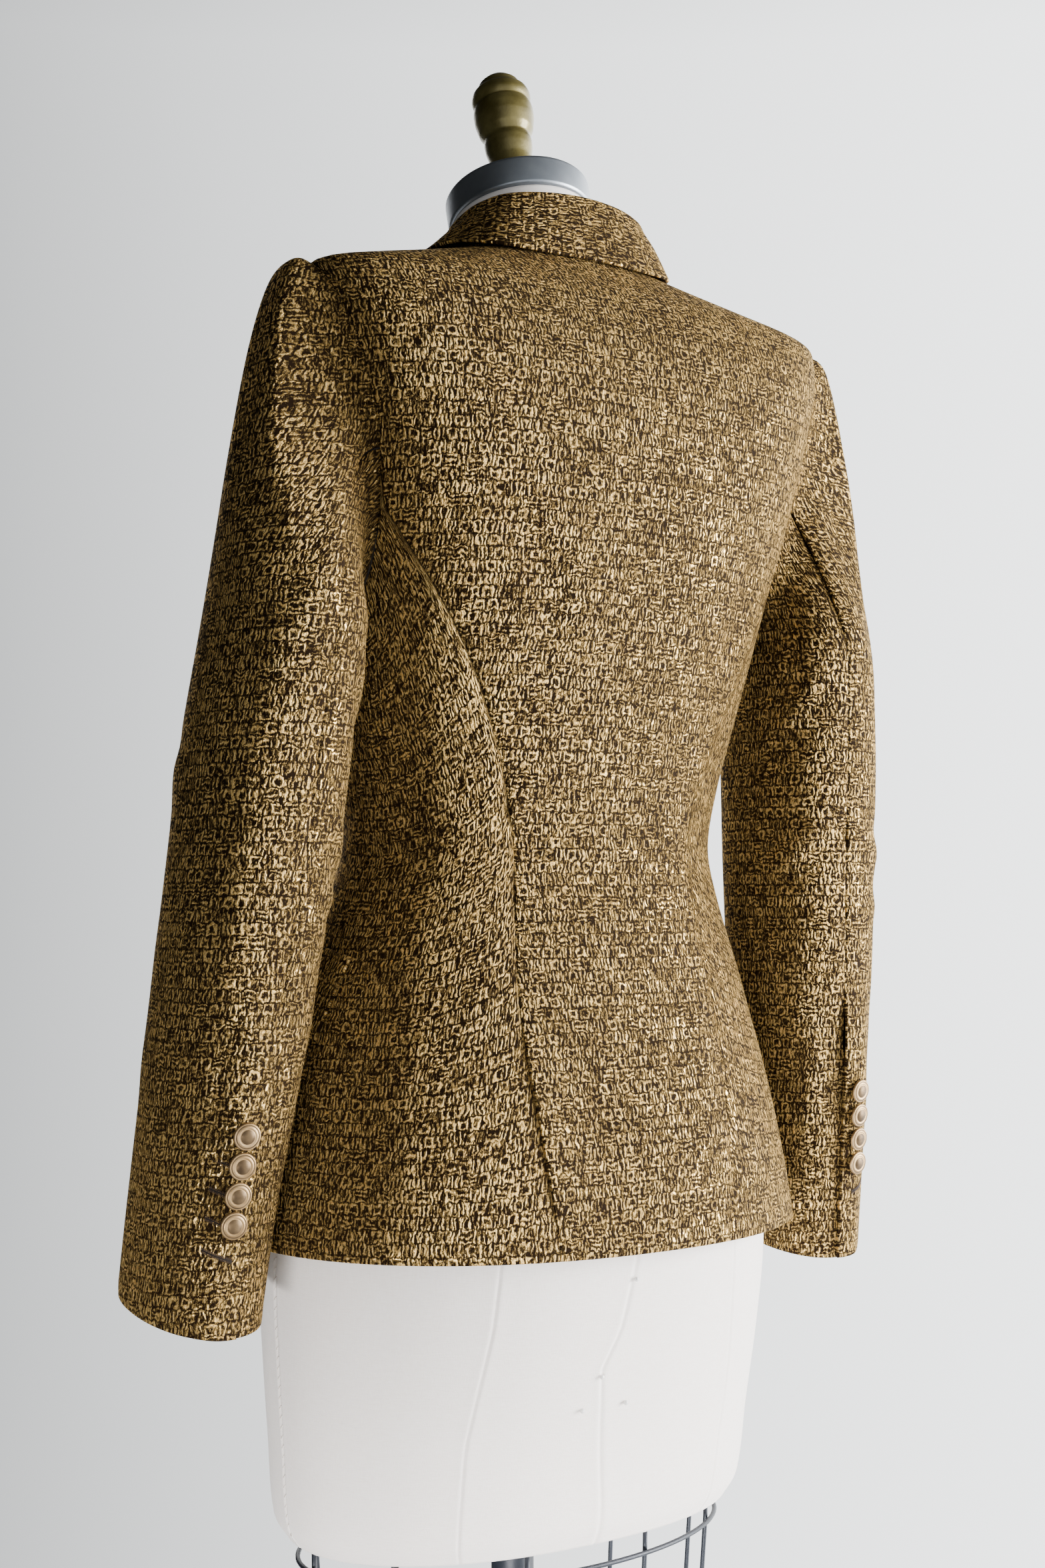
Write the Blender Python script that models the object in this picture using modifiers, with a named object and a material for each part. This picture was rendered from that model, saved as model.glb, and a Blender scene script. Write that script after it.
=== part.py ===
# A tailored women's blazer of woven gold cloth, on a limbless dress form with a wire cage, a pole
# and a base. Metres, +Z up. The form faces -Y, its left is +X, and z = 0 is the floor.
import math

import bpy
import numpy as np
from mathutils import Matrix

for ob in list(bpy.data.objects):
    bpy.data.objects.remove(ob)

PIECES = bpy.data.collections.new("blazer_on_dress_form")
bpy.context.scene.collection.children.link(PIECES)

# The blazer's outer face. Columns: height, half width, centre y, front depth, back depth, squareness.
JACKET = (
    (0.860, 0.1880, 0.003, 0.142, 0.150, 2.20),
    (0.877, 0.1860, 0.003, 0.140, 0.148, 2.20),
    (0.926, 0.1760, 0.004, 0.132, 0.142, 2.20),
    (0.976, 0.1630, 0.007, 0.122, 0.129, 2.20),
    (1.025, 0.1480, 0.011, 0.111, 0.113, 2.20),
    (1.078, 0.1290, 0.016, 0.100, 0.097, 2.20),
    (1.108, 0.1220, 0.019, 0.096, 0.091, 2.20),
    (1.145, 0.1265, 0.023, 0.101, 0.092, 2.20),
    (1.181, 0.1350, 0.027, 0.111, 0.096, 2.20),
    (1.218, 0.1420, 0.032, 0.124, 0.100, 2.25),
    (1.260, 0.1500, 0.038, 0.136, 0.103, 2.30),
    (1.300, 0.1580, 0.045, 0.141, 0.103, 2.40),
    (1.340, 0.1665, 0.052, 0.137, 0.099, 2.50),
    (1.380, 0.1750, 0.059, 0.123, 0.090, 2.60),
    (1.410, 0.1820, 0.065, 0.107, 0.077, 2.60),
    (1.430, 0.1860, 0.068, 0.092, 0.063, 2.50),
    (1.442, 0.1830, 0.068, 0.082, 0.053, 2.40),
    (1.452, 0.1520, 0.061, 0.074, 0.049, 2.30),
    (1.462, 0.1150, 0.053, 0.068, 0.046, 2.20),
    (1.470, 0.0870, 0.047, 0.064, 0.043, 2.10),
    (1.476, 0.0700, 0.042, 0.062, 0.041, 2.00),
)
# The form under it, with a last column for how far each ring tips to the front, in degrees.
TORSO = (
    (0.691, 0.1510, 0.002, 0.094, 0.090, 2.20, 0.0),
    (0.704, 0.1590, 0.002, 0.100, 0.097, 2.20, 0.0),
    (0.750, 0.1630, 0.002, 0.104, 0.107, 2.20, 0.0),
    (0.800, 0.1665, 0.002, 0.108, 0.120, 2.20, 0.0),
    (0.850, 0.1690, 0.002, 0.113, 0.129, 2.20, 0.0),
    (0.900, 0.1670, 0.003, 0.116, 0.130, 2.20, 0.0),
    (0.950, 0.1570, 0.006, 0.112, 0.120, 2.20, 0.0),
    (1.000, 0.1430, 0.010, 0.102, 0.106, 2.20, 0.0),
    (1.050, 0.1260, 0.014, 0.092, 0.092, 2.20, 0.0),
    (1.108, 0.1130, 0.019, 0.086, 0.081, 2.20, 0.0),
    (1.160, 0.1190, 0.025, 0.094, 0.083, 2.20, 0.0),
    (1.220, 0.1320, 0.033, 0.112, 0.089, 2.20, 0.0),
    (1.280, 0.1430, 0.042, 0.124, 0.092, 2.30, 0.0),
    (1.330, 0.1510, 0.051, 0.124, 0.088, 2.40, 0.0),
    (1.370, 0.1570, 0.058, 0.111, 0.080, 2.40, 0.0),
    (1.400, 0.1610, 0.063, 0.095, 0.069, 2.40, 0.0),
    (1.420, 0.1610, 0.065, 0.081, 0.055, 2.30, 0.0),
    (1.435, 0.1560, 0.0640, 0.071, 0.047, 2.20, 0.0),
    (1.446, 0.1440, 0.0600, 0.066, 0.043, 2.20, 0.0),
    (1.4530, 0.1350, 0.0575, 0.0652, 0.0421, 2.26, 0.0),
    (1.4590, 0.1126, 0.0527, 0.0618, 0.0404, 2.20, 0.0),
    (1.4640, 0.0947, 0.0490, 0.0592, 0.0385, 2.14, 0.0),
    (1.4685, 0.0620, 0.0400, 0.0520, 0.0360, 2.00, 5.0),
    (1.482, 0.0515, 0.025, 0.046, 0.039, 2.00, 10.0),
    (1.500, 0.0485, 0.016, 0.0455, 0.0435, 2.00, 13.0),
    (1.515, 0.0462, 0.0100, 0.0455, 0.0455, 2.00, 15.0),
)
CLOTH = 0.0022
SEAM_GAP = 0.0004
PANEL_ROWS = 16
# The side panel stops this much short of the armhole, so that the sleeve's straight facets clear it.
RIM_EASE = 0.0004
HEM = 0.872
NAPE = 1.476
# The armhole: an oval on the blazer's face, by height and by degrees round from the front.
HOLE_Z = 1.3415
HOLE_H = 0.0975
HOLE_TURN = 23.0
# Shaped back seam: height, degrees round from the front (180 is the middle of the back).
BACK_SEAM = (
    (0.872, 163.0),
    (0.940, 159.0),
    (1.012, 154.5),
    (1.060, 152.5),
    (1.108, 150.5),
    (1.160, 146.0),
    (1.210, 138.5),
    (1.255, 127.5),
    (1.29984, 112.6),
)
FRONT_SEAM = (
    (0.872, 56.0),
    (0.990, 56.0),
    (1.108, 55.0),
    (1.200, 58.0),
    (1.28862, 70.0),
)
# Lapel: height of its break, its top and how wide it is at heights between.
BREAK_Z = 1.115
LAPEL_LOW = 1.176
LAPEL_TOP = 1.385
LAPEL = ((1.16, 0.004), (1.18, 0.016), (1.22, 0.034), (1.29, 0.053), (1.35, 0.063), (1.385, 0.066))
LAP = 0.014
# Sleeve below the armhole: height, centre x, centre y, half width, half depth.
SLEEVE = (
    (1.228, 0.1935, 0.055, 0.0430, 0.0600),
    (1.166, 0.2001, 0.049, 0.0454, 0.0580),
    (1.104, 0.2051, 0.043, 0.0454, 0.0560),
    (1.040, 0.2112, 0.036, 0.0438, 0.0545),
    (0.970, 0.2175, 0.027, 0.0415, 0.0530),
    (0.900, 0.2235, 0.017, 0.0390, 0.0520),
    (0.843, 0.2270, 0.009, 0.0380, 0.0515),
)
# The way that the top of the sleeve leaves the shoulder.
SLEEVE_HEAD = (0.86, 0.0, 0.45)
SLEEVE_FRONT_SEAM = 232.0
SLEEVE_BACK_SEAM = 96.0
VENT_TOP = 0.975
BUTTON_R = 0.0078
BUTTON_Z = (0.9535, 0.9375, 0.9216, 0.9057)
BUTTON_TURN = 83.5
BASE_R = 0.20
CAGE_TOP = 0.677
CAGE_LOW = 0.430
WIRE = 0.0015


def material(name, colour, rough, metal=0.0):
    mat = bpy.data.materials.new(name)
    mat.use_nodes = True
    node = mat.node_tree.nodes["Principled BSDF"]
    node.inputs["Base Color"].default_value = (*colour, 1.0)
    node.inputs["Roughness"].default_value = rough
    node.inputs["Metallic"].default_value = metal
    return mat


def add(name, points, faces, mat, smooth=True):
    mesh = bpy.data.meshes.new(name)
    mesh.from_pydata([tuple(map(float, p)) for p in points], [], faces)
    mesh.materials.append(mat)
    for face in mesh.polygons:
        face.use_smooth = smooth
    ob = bpy.data.objects.new(name, mesh)
    PIECES.objects.link(ob)
    return ob


def at(table, z):
    """One row of a table at height z, on a smooth curve through its rows."""
    rows = np.array(table, float)
    if rows[0, 0] > rows[-1, 0]:
        rows = rows[::-1]
    heights = rows[:, 0]
    z = min(max(z, heights[0]), heights[-1])
    i = int(np.clip(np.searchsorted(heights, z) - 1, 0, len(rows) - 2))
    step = heights[i + 1] - heights[i]
    t = (z - heights[i]) / step

    def slope(k):
        if k == 0 or k == len(rows) - 1:
            j = min(max(k, 1), len(rows) - 1)
            return (rows[j] - rows[j - 1]) / (heights[j] - heights[j - 1])
        return (rows[k + 1] - rows[k - 1]) / (heights[k + 1] - heights[k - 1])

    a = 2 * t**3 - 3 * t**2 + 1
    b = t**3 - 2 * t**2 + t
    c = -2 * t**3 + 3 * t**2
    d = t**3 - t**2
    return a * rows[i] + b * step * slope(i) + c * rows[i + 1] + d * step * slope(i + 1)


def ring_point(row, turn):
    """The point of a ring at some degrees round from the front."""
    angle = math.radians(turn)
    power = 2 / row[5]
    s = math.sin(angle)
    c = math.cos(angle)
    x = row[1] * math.copysign(abs(s) ** power, s)
    depth = row[3] if c > 0 else row[4]
    y = row[2] - depth * math.copysign(abs(c) ** power, c)
    return x, y


def face_point(z, turn):
    x, y = ring_point(at(JACKET, z), turn)
    return np.array((x, y, z))


def outward(z, turn):
    dz = 0.002 if z < NAPE - 0.004 else -0.002
    along = face_point(z, turn + 1.5) - face_point(z, turn - 1.5)
    up = (face_point(z + dz, turn) - face_point(z, turn)) / dz
    normal = np.cross(along, up)
    return normal / np.linalg.norm(normal)


def lifted(z, turn, by):
    return face_point(z, turn) + outward(z, turn) * by


def wall(name, outer, inner, mat):
    """A closed wall between two grids of points of the same size."""
    rows = len(outer)
    cols = len(outer[0])
    points = [p for row in outer for p in row] + [p for row in inner for p in row]
    size = rows * cols
    faces = []
    for i in range(rows - 1):
        for j in range(cols - 1):
            a = i * cols + j
            quad = (a, a + 1, a + 1 + cols, a + cols)
            faces.append(quad)
            faces.append(tuple(size + k for k in reversed(quad)))
    rim = [j for j in range(cols)]
    rim += [i * cols + cols - 1 for i in range(1, rows)]
    rim += [(rows - 1) * cols + j for j in range(cols - 2, -1, -1)]
    rim += [i * cols for i in range(rows - 2, 0, -1)]
    for a, b in zip(rim, rim[1:] + rim[:1]):
        faces.append((b, a, size + a, size + b))
    i = rows // 2
    j = cols // 2
    across = np.cross(outer[i][j] - outer[i][j - 1], outer[i][j] - outer[i - 1][j])
    if np.dot(across, outer[i][j] - inner[i][j]) < 0:
        faces = [tuple(reversed(face)) for face in faces]
    return add(name, points, faces, mat)


def mirrored(name, ob):
    """The same piece on the other side of the body."""
    points = [(-v.co.x, v.co.y, v.co.z) for v in ob.data.vertices]
    faces = [tuple(reversed(face.vertices)) for face in ob.data.polygons]
    return add(name, points, faces, ob.data.materials[0])


def hole_turn(z):
    """How far round the armhole's edge stands from the side at height z, in degrees."""
    k = (z - HOLE_Z) / HOLE_H
    return HOLE_TURN * math.sqrt(max(0.0, 1 - k * k)) ** 0.8


def turn_at_x(z, x):
    row = at(JACKET, z)
    share = min(abs(x) / row[1], 1.0)
    return math.copysign(math.degrees(math.asin(share ** (row[5] / 2))), x)


cloth = material("gold_cloth", (0.42, 0.30, 0.13), 0.55, 0.4)
linen = material("linen", (0.80, 0.74, 0.69), 0.9)
steel = material("cap_steel", (0.45, 0.48, 0.52), 0.35, 0.9)
brass = material("finial_paint", (0.30, 0.25, 0.10), 0.35, 0.6)
button_metal = material("button_metal", (0.72, 0.58, 0.40), 0.3, 0.8)
iron = material("dark_iron", (0.03, 0.035, 0.05), 0.45, 0.5)


# Back: one piece. Below the armhole it ends at the shaped seams, and above it at the armholes.
def side_gap(z, turn):
    """Half the gap at a seam, in degrees round."""
    run = np.linalg.norm(face_point(z, turn + 0.5) - face_point(z, turn - 0.5))
    return SEAM_GAP / 2 / max(run, 0.0004)


def hole_low(turn):
    """Height of the armhole's lower edge at some degrees round."""
    k = min(abs(turn - 90) / HOLE_TURN, 1.0) ** (1 / 0.8)
    return HOLE_Z - HOLE_H * math.sqrt(max(0.0, 1 - k * k))


def hole_heights(angles):
    return [HOLE_Z + HOLE_H * math.cos(math.radians(v)) for v in angles]


BACK_TOP = hole_low(112.6)
FRONT_TOP = hole_low(70.0)


def back_edge(z):
    if z <= BACK_TOP:
        return at(BACK_SEAM, z)[1]
    if z < HOLE_Z + HOLE_H:
        return 90 + hole_turn(z)
    return 90.0


below = list(np.linspace(HEM, BACK_TOP, PANEL_ROWS))
beside = hole_heights((96, 80, 64, 48, 32, 16, 5))
above = [1.4430, 1.4500, 1.457, 1.464, 1.4705, NAPE]
heights = below + beside + above
outer = []
inner = []
for z in heights:
    edge = back_edge(z)
    edge += side_gap(z, edge)
    row = [edge + (360 - 2 * edge) * k / 16 for k in range(17)]
    outer.append([face_point(z, u) for u in row])
    inner.append([lifted(z, u, -CLOTH) for u in row])
wall("back", outer, inner, cloth)


# Side panel: from the shaped back seam round under the arm to the front seam. Its top is the
# lower part of the armhole.
def side_panel():
    top_back = 112.6
    top_front = 70.0
    outer = []
    inner = []
    for i in range(PANEL_ROWS):
        t = i / (PANEL_ROWS - 1)
        row_out = []
        row_in = []
        for j in range(11):
            s = 0.5 - 0.5 * math.cos(math.pi * j / 10)
            rim = top_front + (top_back - top_front) * s
            top = hole_low(rim) - (RIM_EASE if 0 < j < 10 else 0)
            z = HEM + (top - HEM) * t
            first = at(FRONT_SEAM, z)[1]
            last = at(BACK_SEAM, z)[1]
            across = s
            if 0 < j < 10:
                rim_first = at(FRONT_SEAM, top)[1]
                rim_last = at(BACK_SEAM, top)[1]
                across += ((rim - rim_first) / (rim_last - rim_first) - s) * t**3
            first += side_gap(z, first)
            last -= side_gap(z, last)
            turn = first + (last - first) * across
            row_out.append(face_point(z, turn))
            row_in.append(lifted(z, turn, -CLOTH))
        outer.append(row_out)
        inner.append(row_in)
    return wall("side_left", outer, inner, cloth)


side_left = side_panel()
side_right = mirrored("side_right", side_left)


# Fronts: from the front seam and the armhole to the middle, and up the roll of the lapel. The
# left one tucks in under the right one where they lap.
def roll_x(z):
    return -LAP + (z - BREAK_Z) / (1.468 - BREAK_Z) * (0.074 + LAP)


# The front's top edge climbs towards the shoulder seam, so that it ends under the collar's fall.
NECK_CLIMB = 0.0085


def front_panel(name, tuck):
    low = list(np.linspace(HEM, FRONT_TOP, PANEL_ROWS))
    side = hole_heights((112, 96, 80, 64, 48, 32, 16, 5))
    high = [1.4430, 1.4500, 1.458, 1.466]
    outer = []
    inner = []
    for z in low + side + high:
        if z <= FRONT_TOP + 1e-9:
            last = at(FRONT_SEAM, z)[1]
        elif z < HOLE_Z + HOLE_H:
            last = 90 - hole_turn(z)
        else:
            last = 90.0
        last -= side_gap(z, last)
        edge = -LAP if z < BREAK_Z else roll_x(z)
        first = turn_at_x(z, edge)
        row_out = []
        row_in = []
        for j in range(10):
            turn = first + (last - first) * j / 9
            climb = NECK_CLIMB * max((j - 3) / 6, 0.0) * max((z - 1.4500) / 0.0160, 0.0)
            sink = 0.0
            if tuck:
                x = face_point(z, turn)[0]
                k = min(max((0.042 - x) / 0.022, 0.0), 1.0)
                fade = min(max((LAPEL_LOW + 0.025 - z) / 0.02, 0.0), 1.0)
                sink = (CLOTH + 0.0008) * k * k * (3 - 2 * k) * fade
            row_out.append(lifted(z + climb, turn, -sink))
            row_in.append(lifted(z + climb, turn, -sink - CLOTH))
        outer.append(row_out)
        inner.append(row_in)
    return wall(name, outer, inner, cloth)


front_left = front_panel("front_left", True)
plain = front_panel("front_plain", False)
front_right = mirrored("front_right", plain)
bpy.data.objects.remove(plain)


# Lapels: each lies on its front, from the roll outwards, a little off it.
def lapel_piece():
    outer = []
    inner = []
    heights = list(np.linspace(HEM, FRONT_TOP, PANEL_ROWS)) + hole_heights((112, 96, 80, 64))
    for z in [z for z in heights if LAPEL_LOW < z < LAPEL_TOP + 0.001]:
        first = roll_x(z) + 0.0008
        width = at(LAPEL, z)[1]
        row_out = []
        row_in = []
        for j in range(7):
            s = j / 6
            turn = turn_at_x(z, first + width * s)
            lift = 0.0010 + 0.0008 * math.sin(math.pi * s)
            row_out.append(lifted(z, turn, lift + CLOTH))
            row_in.append(lifted(z, turn, lift))
        outer.append(row_out)
        inner.append(row_in)
    return wall("lapel_left", outer, inner, cloth)


lapel_left = lapel_piece()
lapel_right = mirrored("lapel_right", lapel_left)

# Collar: a stand that rises from the neck edge, folds over at the top and falls outside. Columns:
# degrees round from the front, seat x y z, fold x y z, fall edge x y z. The middle of the back is last.
COLLAR = (
    (0.0, 0.0545, -0.0575, 1.3885, 0.0548, -0.0610, 1.3900, 0.0980, -0.0490, 1.3960),
    (1.0, 0.0612, -0.0215, 1.4385, 0.0610, -0.0238, 1.4445, 0.0945, -0.0145, 1.4430),
    (1.5, 0.0626, -0.0085, 1.4575, 0.0613, -0.0100, 1.4655, 0.0920, -0.0030, 1.4605),
    (2.0, 0.0650, 0.0120, 1.4700, 0.0625, 0.0100, 1.4800, 0.0890, 0.0160, 1.4715),
    (3.0, 0.0668, 0.0420, 1.4765, 0.0620, 0.0400, 1.4965, 0.0820, 0.0500, 1.4765),
    (4.0, 0.0570, 0.0655, 1.4765, 0.0525, 0.0625, 1.5040, 0.0670, 0.0790, 1.4715),
    (5.0, 0.0330, 0.0782, 1.4765, 0.0305, 0.0750, 1.5070, 0.0380, 0.0925, 1.4680),
    (6.0, 0.0000, 0.0822, 1.4765, 0.0000, 0.0785, 1.5085, 0.0000, 0.0970, 1.4675),
)


def collar_piece():
    mid = COLLAR[-1]
    far = [(12 - r[0], -r[1], r[2], r[3], -r[4], r[5], r[6], -r[7], r[8], r[9]) for r in COLLAR[-2::-1]]
    table = list(COLLAR[:-1]) + [mid] + far
    outer = []
    inner = []
    for t in np.linspace(0.0, 12.0, 23):
        row = at(table, t)
        seat = row[1:4]
        fold = row[4:7]
        edge = row[7:10]
        out = edge - seat
        out[2] = 0
        out /= np.linalg.norm(out)
        half = 0.0030
        rise = np.linalg.norm(fold - seat)
        line = [seat, seat * 0.5 + fold * 0.5 - out * 0.0004]
        line.append(fold - np.array((0, 0, min(0.004, rise * 0.3))))
        line.append(fold + out * half * 0.35 + np.array((0, 0, 0.0016)))
        line.append(fold + out * half * 1.5 + np.array((0, 0, 0.0014)))
        line.append(fold + out * half * 2.2 - np.array((0, 0, 0.0030)))
        start = line[-1]
        line.append(start * 0.66 + edge * 0.34 + out * 0.0012)
        line.append(start * 0.33 + edge * 0.67 + out * 0.0008)
        line.append(edge)
        normals = []
        for k in range(len(line)):
            a = line[max(k - 1, 0)]
            b = line[min(k + 1, len(line) - 1)]
            d = b - a
            along = np.array((-out[1], out[0], 0.0))
            n = np.cross(d, along)
            normals.append(n / np.linalg.norm(n))
        outer.append([p + n * CLOTH / 2 for p, n in zip(line, normals)])
        inner.append([p - n * CLOTH / 2 for p, n in zip(line, normals)])
    return wall("collar", outer, inner, cloth)


collar_piece()


# Sleeves: each runs from its armhole out and down to the cuff, in an upper and an under piece.
def hole_frame(v):
    """Armhole at v degrees from its top: the edge point, the face's normal and the way into the hole."""
    v = v % 360
    z = HOLE_Z + HOLE_H * math.cos(math.radians(v))
    side = 1 if v <= 180 else -1
    turn = 90 + side * hole_turn(z)
    point = face_point(z, turn)
    normal = outward(z, turn)
    z2 = HOLE_Z + HOLE_H * math.cos(math.radians(v + 4))
    side2 = -1 if 180 < v + 4 <= 360 else 1
    along = face_point(z2, 90 + side2 * hole_turn(z2)) - point
    into = np.cross(along, normal)
    into /= np.linalg.norm(into)
    centre = np.array((0.17, 0.05, HOLE_Z))
    if np.dot(into, centre - point) < 0:
        into = -into
    return point, normal, into


def sleeve_ring(z, v):
    row = at(SLEEVE, z)
    angle = math.radians(v)
    out = math.cos(angle)
    back = math.sin(angle)
    x = row[1] + row[3] * math.copysign(abs(out) ** 0.92, out)
    y = row[2] + row[4] * math.copysign(abs(back) ** 0.92, back)
    return np.array((x, y, z))


def sleeve_point(v, s):
    """The sleeve's face at v degrees round, s from 0 at the armhole to 1 at the hem."""
    v = v % 360
    cap = 0.34
    if s >= cap:
        share = (s - cap) / (1 - cap)
        top = SLEEVE[0][0]
        low = SLEEVE[-1][0] - 0.010 * math.cos(math.radians(v - 100))
        return sleeve_ring(top + (low - top) * share, v)
    point, normal, into = hole_frame(v)
    low = smooth((abs(v - 180) - 15) / 75)
    low = 1 - low
    leave = into * (1 - low) + normal * low
    head = smooth(1 - abs((v + 180) % 360 - 180) / 72)
    leave = leave * (1 - head) + np.array(SLEEVE_HEAD) * head
    leave /= np.linalg.norm(leave)
    start = point + into * 0.0006 + np.array((0, 0, 0.0004)) * head
    end = sleeve_ring(SLEEVE[0][0], v)
    below = sleeve_ring(SLEEVE[0][0] - 0.004, v)
    t = s / cap
    reach = np.linalg.norm(end - start)
    first = leave * (reach * (0.55 - 0.15 * head) + 0.012)
    last = (below - end) / 0.004 * reach * (0.95 + 0.65 * head)
    a = 2 * t**3 - 3 * t**2 + 1
    b = t**3 - 2 * t**2 + t
    c = -2 * t**3 + 3 * t**2
    d = t**3 - t**2
    return a * start + b * first + c * end + d * last


def smooth(k):
    k = min(max(k, 0.0), 1.0)
    return k * k * (3 - 2 * k)


def sleeve_inward(v, s):
    v = v % 360
    point, normal, into = hole_frame(v)
    low = 1 - smooth((abs(v - 180) - 15) / 75)
    first = -normal * (1 - low) + into * low
    first /= np.linalg.norm(first)
    ds = 0.004 if s < 0.99 else -0.004
    along = (sleeve_point(v, s + ds) - sleeve_point(v, s)) / ds
    around = sleeve_point(v + 3, s) - sleeve_point(v - 3, s)
    n = np.cross(along, around)
    n /= np.linalg.norm(n)
    centre = np.mean([sleeve_point(k, s) for k in (0, 90, 180, 270)], axis=0)
    if np.dot(n, centre - sleeve_point(v, s)) < 0:
        n = -n
    k = smooth(s / 0.05)
    mix = first * (1 - k) + n * k
    return mix / np.linalg.norm(mix)


def sleeve_piece(name, start, end, cols, open_edge):
    outer = []
    inner = []
    steps = [0, 0.015, 0.04, 0.075, 0.12, 0.17, 0.225, 0.28, 0.34]
    steps += [0.34 + 0.66 * k / 13 for k in range(1, 14)]
    for s in steps:
        trim = math.degrees(SEAM_GAP / 2 / 0.045) * (1 + 1.2 * (1 - smooth((s - 0.2) / 0.1)))
        row_out = []
        row_in = []
        for j in range(cols):
            k = j / (cols - 1)
            v = start + (end - start) * k
            z = sleeve_point(v, s)[2]
            lift = 0.0
            if j == 0:
                v += trim
            if j == cols - 1:
                v -= trim
            if open_edge:
                near = smooth((v - (SLEEVE_BACK_SEAM - 38)) / 26)
                lift = (CLOTH + 0.0008) * near * smooth((VENT_TOP + 0.05 - z) / 0.05)
            elif j == 0 and z < VENT_TOP:
                v -= 10.0
            p = sleeve_point(v, s)
            n = sleeve_inward(v, s)
            row_out.append(p - n * lift)
            row_in.append(p + n * (CLOTH - lift))
        outer.append(row_out)
        inner.append(row_in)
    return wall(name, outer, inner, cloth)


upper_left = sleeve_piece("sleeve_upper_left", SLEEVE_FRONT_SEAM - 360, SLEEVE_BACK_SEAM, 15, True)
upper_right = mirrored("sleeve_upper_right", upper_left)
under_left = sleeve_piece("sleeve_under_left", SLEEVE_BACK_SEAM, SLEEVE_FRONT_SEAM, 9, False)
under_right = mirrored("sleeve_under_right", under_left)


# Pocket flaps: each lies on the front and side panels at the hip, slanting down to the back.
def flap_piece():
    outer = []
    inner = []
    for i in range(4):
        t = i / 3
        row_out = []
        row_in = []
        for j in range(9):
            s = j / 8
            z = 1.040 + 0.020 * (1 - s) - 0.048 * t
            turn = 46 + 57.5 * s + (2.0 - 6.0 * s) * t
            lift = 0.0012 + 0.0014 * t
            row_out.append(lifted(z, turn, lift + CLOTH))
            row_in.append(lifted(z, turn, lift))
        outer.append(row_out)
        inner.append(row_in)
    return wall("flap_left", outer, inner, cloth)


flap_left = flap_piece()
flap_right = mirrored("flap_right", flap_left)


# Buttons: turned metal, with a raised middle and a stepped rim, each on a short shank.
def turned(name, profile, mat, place, axis, steps=20):
    """A closed turned solid: profile of radius and height, turned round the axis at a place."""
    mesh = bpy.data.meshes.new(name)
    points = [(r, 0.0, h) for r, h in profile]
    mesh.from_pydata(points, [(k, k + 1) for k in range(len(points) - 1)], [])
    mesh.materials.append(mat)
    ob = bpy.data.objects.new(name, mesh)
    PIECES.objects.link(ob)
    screw = ob.modifiers.new("turn", "SCREW")
    screw.steps = steps
    screw.render_steps = steps
    screw.use_merge_vertices = True
    screw.merge_threshold = 0.00001
    screw.use_normal_flip = True
    z = np.array(axis, float)
    z /= np.linalg.norm(z)
    x = np.cross((0.0, 0.0, 1.0), z) if abs(z[2]) < 0.9 else np.array((1.0, 0.0, 0.0))
    x = x - z * np.dot(x, z)
    x /= np.linalg.norm(x)
    y = np.cross(z, x)
    rows = [[float(v[k]) for v in (x, y, z, place)] for k in range(3)]
    ob.matrix_world = Matrix(rows + [[0.0, 0.0, 0.0, 1.0]])
    return ob


BUTTON = (
    (0.0, 0.0),
    (0.0030, 0.0),
    (0.0030, 0.0008),
    (BUTTON_R - 0.0006, 0.0010),
    (BUTTON_R, 0.0018),
    (BUTTON_R - 0.0006, 0.0026),
    (BUTTON_R - 0.0024, 0.0034),
    (0.0025, 0.0041),
    (0.0, 0.0043),
)
for number, z in enumerate(BUTTON_Z):
    share = 0.34 + 0.66 * (SLEEVE[0][0] - z) / (SLEEVE[0][0] - SLEEVE[-1][0])
    v = BUTTON_TURN
    n = -sleeve_inward(v, share)
    lift = CLOTH + 0.0008 + 0.0006
    place = sleeve_point(v, share) + n * lift
    turned(f"cuff_button_left_{number + 1}", BUTTON, button_metal, place, n, 14)
    other = np.array((-place[0], place[1], place[2]))
    turned(f"cuff_button_right_{number + 1}", BUTTON, button_metal, other, (-n[0], n[1], n[2]), 14)
for number, (z, lift) in enumerate(((1.100, 0.0018), (1.010, 0.0002))):
    n = outward(z, 0.5)
    place = lifted(z, 0.0, lift)
    turned(f"front_button_{number + 1}", [(r * 1.3, h) for r, h in BUTTON], button_metal, place, n)


# Torso: whole and closed, rounded under at the hip, up to the neck.
def torso():
    cols = 26
    rings = []
    stations = [0.691, 0.696, 0.705, 0.735, 0.77, 0.81, 0.85, 0.89, 0.93, 0.97, 1.01, 1.05, 1.08]
    stations += [1.108, 1.15, 1.19, 1.23, 1.27, 1.305, 1.34, 1.37, 1.395, 1.415, 1.435]
    stations += [1.446, 1.453, 1.459, 1.464, 1.4685, 1.482, 1.498, 1.515]
    for z in stations:
        row = at(TORSO, z)
        tip = math.radians(row[6])
        ring = []
        for k in range(cols):
            x, y = ring_point(row, 360 * k / cols)
            dy = y - row[2]
            ring.append((x, row[2] + dy * math.cos(tip), z + dy * math.sin(tip)))
        rings.append(ring)
    points = [p for ring in rings for p in ring]
    faces = []
    for i in range(len(rings) - 1):
        for k in range(cols):
            a = i * cols + k
            b = i * cols + (k + 1) % cols
            faces.append((a, b, b + cols, a + cols))
    faces.append(tuple(reversed(range(cols))))
    faces.append(tuple(range(len(points) - cols, len(points))))
    return add("torso", points, faces, linen)


torso()

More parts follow.
